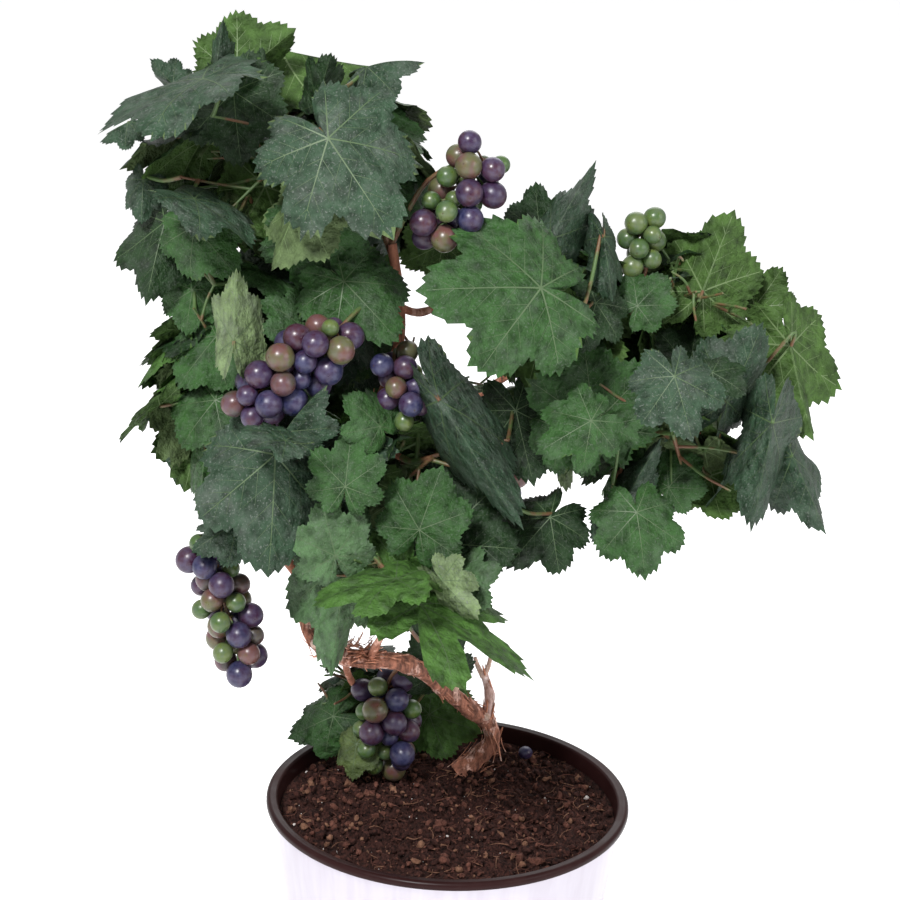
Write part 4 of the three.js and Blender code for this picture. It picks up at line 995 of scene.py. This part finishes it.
def fruit():
    berry_slots = berry_materials()
    stalk = green_stalk_material()
    points, quads, caps = ball_mesh(BERRY_SIDES, BERRY_RINGS)
    scar_points, scar_faces = points[:SCAR_RINGS * BERRY_SIDES], ring_faces(SCAR_RINGS, BERRY_SIDES)[:, ::-1]
    green = list(BERRY_TONES).index("green")
    for seed, (name, (route, bottom, *_, tones)) in enumerate(BUNCHES.items()):
        rng = np.random.default_rng(seed + 7)
        centres, radii, shares = berries_of(name, seed + 40, 1)
        top, bottom = np.array(route[-1], float), np.array(bottom, float)
        berries, stalks = Heap(), Heap()
        spine = smooth_route(route + [mix(top, bottom, 0.5), mix(top, bottom, 0.9)], 5)
        add_tube(stalks, spine, np.linspace(1.4, 0.7, len(spine)), 8)
        tone_of = rng.choice(len(BERRY_TONES), len(centres), p=np.array(tones) / sum(tones))
        for centre, radius, share, tone in zip(centres, radii, shares, tone_of):
            home = mix(top, bottom, min(max(share - 0.12, 0), 0.9))
            axes = basis_toward(centre - home)
            size = radius * (GREEN_BERRY_SIZE if tone == green and name != "bunch_green" else 1)
            body = (points * [1, 1, 1.04]) @ axes * size + centre
            berries.add(body, quads, tone)
            berries.add(body, caps, tone)
            scar = (scar_points * [0.09, 0.09, 0.02] + [0, 0, 1.035]) @ axes * size + centre
            berries.add(scar, scar_faces, len(BERRY_TONES))
            foot = centre - axes[2] * size * 0.98
            collar = centre - axes[2] * size * 1.02
            route_in = smooth_route([home, mix(home, foot, 0.6) + [0, 0, 0.8], foot], 3)
            add_tube(stalks, route_in, np.linspace(0.75, 0.5, len(route_in)), 6)
            add_tube(stalks, [collar - axes[2] * 1.2, collar, foot + axes[2] * 0.4], [0.5, 1.1, 1.0], 8)
        berries.piece(name + "_berries", "fruit", berry_slots, [name])
        stalks.piece(name + "_stalks", "fruit", [stalk], [name])
    fallen = Heap()
    centre, radius = FALLEN_BERRY
    body = points @ basis_toward(np.array([0.5, -0.7, 0.6])) * [1.05, 1.05, 0.94] * radius + centre
    fallen.add(body, quads, 0)
    fallen.add(body, caps, 0)
    fallen.piece("fallen_berry_body", "fruit", berry_slots[:1], ["fallen_berry"])


# Wood

def add_limb(heap, name, slot):
    """A limb with ridges that wind along it, knobs at its joints, and a rough skin."""
    points, radii = LIMBS[name]
    old = name in OLD_WOOD
    sides = 28 if old else 14
    route = smooth_route(points, 24 if old else 14)
    if name == "trunk":
        route = route[route[:, 2] > SOIL_EDGE - 1]
    share = np.linspace(0, 1, len(route))
    radius = mix(radii[0], radii[1], share)
    if name == "trunk":
        radius = radius + TRUNK_FLARE * np.maximum(0, 1 - share * 3)
    run = np.concatenate([[0], np.cumsum(np.linalg.norm(np.diff(route, axis=0), axis=1))])
    knobs = np.exp(-((run % KNOB_SPACING - KNOB_SPACING / 2) / KNOB_WIDTH) ** 2) * (0.2 if old else 0.16)
    seed = len(name) * 3.7
    depth = 0.17 if old else 0.05

    def relief(i, angles):
        def rough(across, length):
            return np.array([noise_at(across * math.cos(a), across * math.sin(a), run[i] / length + seed)
                             for a in angles])
        return 1 + knobs[i] + depth * rough(2.6, 22) + 0.5 * depth * rough(7, 7)
    add_tube(heap, route, radius * 0.97, sides, slot, relief)
    return route, radius


def add_strip(heap, root, along, out, length, width, curl, slot):
    """A strip of peeling bark: it lies along the wood and curls off it at one end."""
    steps = np.linspace(0, 1, 7)
    across = unit(np.cross(along, out))
    middle = root + np.outer(steps * length, along) + np.outer(curl * steps ** 2, out)
    half = np.outer(width / 2 * np.sqrt(1 - 0.8 * steps ** 2), across)
    skin = np.outer(np.full(len(steps), 0.35), out)
    points = np.vstack([middle - half, middle + half, middle + skin])
    row = np.arange(len(steps) - 1)
    n = len(steps)
    faces = [np.column_stack([row + a, row + b, row + b + 1, row + a + 1])
             for a, b in ((0, 2 * n), (2 * n, n), (n, 0))]
    heap.add(points, np.vstack(faces), slot)


def wood():
    old = bark_material("old_bark", (0.09, 0.034, 0.022), (0.5, 0.2, 0.125), (0.8, 0.53, 0.45), 1.2)
    young = bark_material("cane_bark", (0.2, 0.07, 0.042), (0.5, 0.2, 0.12), (0.62, 0.36, 0.28), 0.5)
    flakes = bark_material("bark_flakes", (0.2, 0.075, 0.045), (0.65, 0.28, 0.17), (0.8, 0.53, 0.44), 0.4)
    cut = bark_material("cut_wood", (0.42, 0.27, 0.2), (0.66, 0.45, 0.38), (0.75, 0.6, 0.52), 0.3)
    bleached = bark_material("bleached_bark", (0.3, 0.17, 0.13), (0.72, 0.5, 0.46), (0.85, 0.7, 0.67), 0.8)
    heap = Heap()
    rng = np.random.default_rng(3)
    for name in LIMBS:
        route, radius = add_limb(heap, name, 4 if name == "spur" else 0 if name in OLD_WOOD else 1)
        if name not in OLD_WOOD:
            continue
        for _ in range(BARK_STRIPS[name]):
            at = int(rng.integers(1, len(route) - 2))
            along = unit(route[at + 1] - route[at]) * rng.choice([-1, 1])
            out = rng.normal(size=3)
            out = unit(out - (out @ along) * along)
            length, width = rng.uniform(5, 14), rng.uniform(0.8, 2.2)
            root = route[at] + out * radius[at] * 0.98
            add_strip(heap, root, along, out, length, width, rng.uniform(0.2, 2.6), 2)
    for _ in range(TUFT_STRIPS):
        way = unit(TUFT_TO - TUFT_FROM)
        out = rng.normal(size=3) + [0, -0.4, 0.7]
        out = unit(out - (out @ way) * way)
        root = mix(TUFT_FROM, TUFT_TO, rng.uniform()) + out * TUFT_RADIUS
        along = unit(way * rng.choice([-1, 1]) + out * rng.uniform(0, 1.2) + rng.normal(size=3) * 0.3)
        facing = unit(out - (out @ along) * along)
        add_strip(heap, root, along, facing, rng.uniform(3, 9), rng.uniform(0.8, 2), rng.uniform(-1, 3), 2)
    for tip in SNAG_TIPS:
        route = smooth_route([SNAG_ROOT, (mix(SNAG_ROOT[0], tip[0], 0.7), 39, 238), tip], 5)
        add_tube(heap, route, np.linspace(1.7, 1.0, len(route)), 10, 3)
    points, quads, caps = ball_mesh(16, 9)
    for at, size in KNOTS:
        heap.add(points * size + at, quads, 3)
        heap.add(points * size + at, caps, 3)
    heap.piece("vine_wood", "bark", [old, young, flakes, cut, bleached], list(LIMBS))


# Soil, pot and sleeve

def sleeve_outer(height):
    return SLEEVE_TOP_RADIUS - (POT_HEIGHT - RIM_DEPTH - height) * SLEEVE_TAPER


def pot_outer(height):
    return sleeve_outer(height) - SLEEVE_WALL - CLEARANCE


def pot_inner(height):
    return pot_outer(height) - POT_WALL


def soil_height(x, y):
    share = np.hypot(x, y) / (pot_inner(SOIL_EDGE) - CLEARANCE)
    dome = np.interp(share, (0, 0.4, 0.75, 1), (SOIL_CROWN, SOIL_CROWN - 0.1, SOIL_CROWN - 0.6, SOIL_EDGE))
    rough = [sum(height * noise_at(a / size, b / size, seed) for height, size, seed in SOIL_LUMPS)
             for a, b in zip(x, y)]
    return dome + np.array(rough) * (1 - share ** 8) - 0.6


def soil():
    edge = pot_inner(SOIL_EDGE) - CLEARANCE
    sides, rings = SOIL_SIDES, SOIL_RINGS
    angles = np.arange(sides) * 2 * math.pi / sides
    reach = edge * np.linspace(1, 0.004, rings)
    x, y = np.outer(reach, np.cos(angles)).ravel(), np.outer(reach, np.sin(angles)).ravel()
    rng = np.random.default_rng(11)
    rough = rng.uniform(-3.2, 0.6, len(x)) * (np.hypot(x, y) < edge - 0.5)
    top = np.column_stack([x, y, soil_height(x, y) + rough])
    bottom = np.column_stack([x[:sides], y[:sides], np.full(sides, SOIL_EDGE - 12.0)])
    heap = Heap()
    heap.add(np.vstack([bottom, top]), ring_faces(rings + 1, sides), 0)
    points, quads, caps = ball_mesh(6, 4)
    away = edge * 0.97 * np.sqrt(rng.uniform(0, 1, SOIL_CRUMBS))
    turn = rng.uniform(0, 2 * math.pi, SOIL_CRUMBS)
    x, y = away * np.cos(turn), away * np.sin(turn)
    z = soil_height(x, y)
    for i in range(SOIL_CRUMBS):
        size = 0.4 + 2.1 * rng.uniform() ** 5
        lump = points * rng.uniform(0.6, 1.3, 3) * (1 + 0.35 * rng.uniform(-1, 1, (len(points), 1))) * size
        lump = lump @ basis_toward(rng.normal(size=3)) + (x[i], y[i], z[i] + size * 0.3)
        tone = rng.choice([0, 1, 2, 3], p=(0.6, 0.28, 0.105, 0.015))
        if tone == 3:
            lump = (lump - lump.mean(0)) * 0.6 + lump.mean(0)
        heap.add(lump, quads, tone)
        heap.add(lump, caps, tone)
    for i in range(SOIL_FIBRES):
        start = np.array([x[i], y[i], z[i] + 0.6])
        turn, length = rng.uniform(0, 2 * math.pi), rng.uniform(3, 13)
        way = np.array([math.cos(turn), math.sin(turn), rng.uniform(-0.05, 0.22)])
        bend = np.array([-way[1], way[0], 0]) * rng.uniform(-0.35, 0.35) * length
        route = smooth_route([start, start + way * length / 2 + bend, start + way * length], 3)
        route[:, :2] *= np.minimum(1, (edge - 1) / np.hypot(route[:, 0], route[:, 1]))[:, None]
        add_tube(heap, route, np.linspace(rng.uniform(0.18, 0.5), 0.12, len(route)), 4, 1 if i % 3 else 2)
    slots = [soil_material("soil_dark", (0.007, 0.0025, 0.002), (0.07, 0.026, 0.02)),
             soil_material("soil_brown", (0.05, 0.018, 0.013), (0.17, 0.07, 0.05)),
             soil_material("soil_tan", (0.1, 0.045, 0.028), (0.26, 0.135, 0.085)),
             soil_material("soil_pale", (0.5, 0.45, 0.42), (0.75, 0.7, 0.68))]
    heap.piece("potting_soil", "soil", slots, ["soil"])


def arc(radius, height, size, start, end, steps):
    """Points of a profile on part of a circle."""
    turns = np.radians(np.linspace(start, end, steps))
    return [(radius + size * math.cos(t), height + size * math.sin(t)) for t in turns]


def pot():
    base = SLEEVE_FLOOR + CLEARANCE
    lip = POT_HEIGHT - RIM_DEPTH
    floor = base + POT_FLOOR
    wall = [(pot_inner(z), z) for z in np.linspace(POT_HEIGHT - 4, floor + 2, 12)]
    profile = [(PIN_HOLE, base), (pot_outer(base) - 1, base), (pot_outer(base + 1), base + 1),
               (pot_outer(lip), lip), (RIM_RADIUS - 2, lip),
               *arc(RIM_RADIUS - 1.2, lip + 1.2, 1.2, -90, 0, 4),
               (RIM_RADIUS, POT_HEIGHT - 2.5), *arc(RIM_RADIUS - 2.4, POT_HEIGHT - 2.4, 2.4, 10, 110, 8),
               *arc(pot_inner(POT_HEIGHT) + 1.4, POT_HEIGHT - 1.9, 1.6, 80, 175, 6), *wall,
               (pot_inner(floor) - 2, floor), (PIN_HOLE, floor)]
    turned("pot_body", "pot", pot_material(), profile, ROUND_SIDES, "pot")


def sleeve():
    top = POT_HEIGHT - RIM_DEPTH - CLEARANCE
    wall = [(sleeve_outer(z), z) for z in np.linspace(2.5, top - 1, 18)]
    profile = [(PIN_HOLE, 0), (sleeve_outer(0) - 2.4, 0), (sleeve_outer(1) - 0.8, 0.5), *wall,
               (sleeve_outer(top) - 0.3, top), (sleeve_outer(top) - SLEEVE_WALL, top - 0.4),
               (sleeve_outer(SLEEVE_FLOOR) - SLEEVE_WALL - 1, SLEEVE_FLOOR + 1), (PIN_HOLE, SLEEVE_FLOOR)]
    turned("sleeve_body", "sleeve", sleeve_material(), profile, ROUND_SIDES, "sleeve", SLEEVE_WOBBLE)


# Floor, light and camera

# In metres: where each light is, where it points, its size, and its power in watts
LIGHTS = {
    "key": ((-0.55, -1.35, 1.75), (0, 0, 0.38), 0.35, 50),
    "fill": ((1.5, -0.9, 1.1), (0, 0, 0.35), 1.2, 12),
    "back": ((0.2, 1.6, 1.5), (0, 0, 0.3), 1.6, 14),
}
SKY_STRENGTH = 0.56
FLOOR_REACH = 24
CAMERA_PLACE = (-0.005, -0.9534, 0.6629)
CAMERA_DOWN, CAMERA_ROLL = 16.75, 1.9
CAMERA_LENS, CAMERA_SENSOR = 76.04, 36


def area_light(name, place, toward, size, power):
    data = bpy.data.lights.new(name, "AREA")
    data.shape, data.size, data.energy = "DISK", size, power
    made = bpy.data.objects.new(name, data)
    made.location = place
    made.rotation_mode = "QUATERNION"
    made.rotation_quaternion = (Vector(toward) - Vector(place)).to_track_quat("-Z", "Y")
    bpy.context.scene.collection.objects.link(made)


def studio():
    scene = bpy.context.scene
    mesh = bpy.data.meshes.new("floor")
    corners = [(x * FLOOR_REACH, y * FLOOR_REACH, 0) for x, y in ((-1, -1), (1, -1), (1, 1), (-1, 1))]
    mesh.from_pydata(corners, [], [(0, 1, 2, 3)])
    ground = bpy.data.objects.new("floor", mesh)
    scene.collection.objects.link(ground)
    paper = Shade("floor", Base_Color=(0.9, 0.9, 0.91), Roughness=0.9, Emission_Strength=0.5)
    mesh.materials.append(paper.material)
    scene.world = bpy.data.worlds.new("studio")
    scene.world.use_nodes = True
    background = scene.world.node_tree.nodes["Background"]
    background.inputs["Color"].default_value = (1, 1, 1, 1)
    background.inputs["Strength"].default_value = SKY_STRENGTH
    for name, light in LIGHTS.items():
        area_light(name, *light)
    data = bpy.data.cameras.new("camera")
    data.lens, data.sensor_width = CAMERA_LENS, CAMERA_SENSOR
    camera = bpy.data.objects.new("camera", data)
    camera.location = CAMERA_PLACE
    down = Matrix.Rotation(math.radians(90 - CAMERA_DOWN), 4, "X")
    roll = Matrix.Rotation(math.radians(CAMERA_ROLL), 4, "Z")
    camera.rotation_euler = (down @ roll).to_euler()
    scene.collection.objects.link(camera)
    scene.camera = camera
    scene.view_settings.view_transform = "Standard"


studio()
crown = Crown()
crown.grow()
foliage(crown)
fruit()
wood()
soil()
pot()
sleeve()
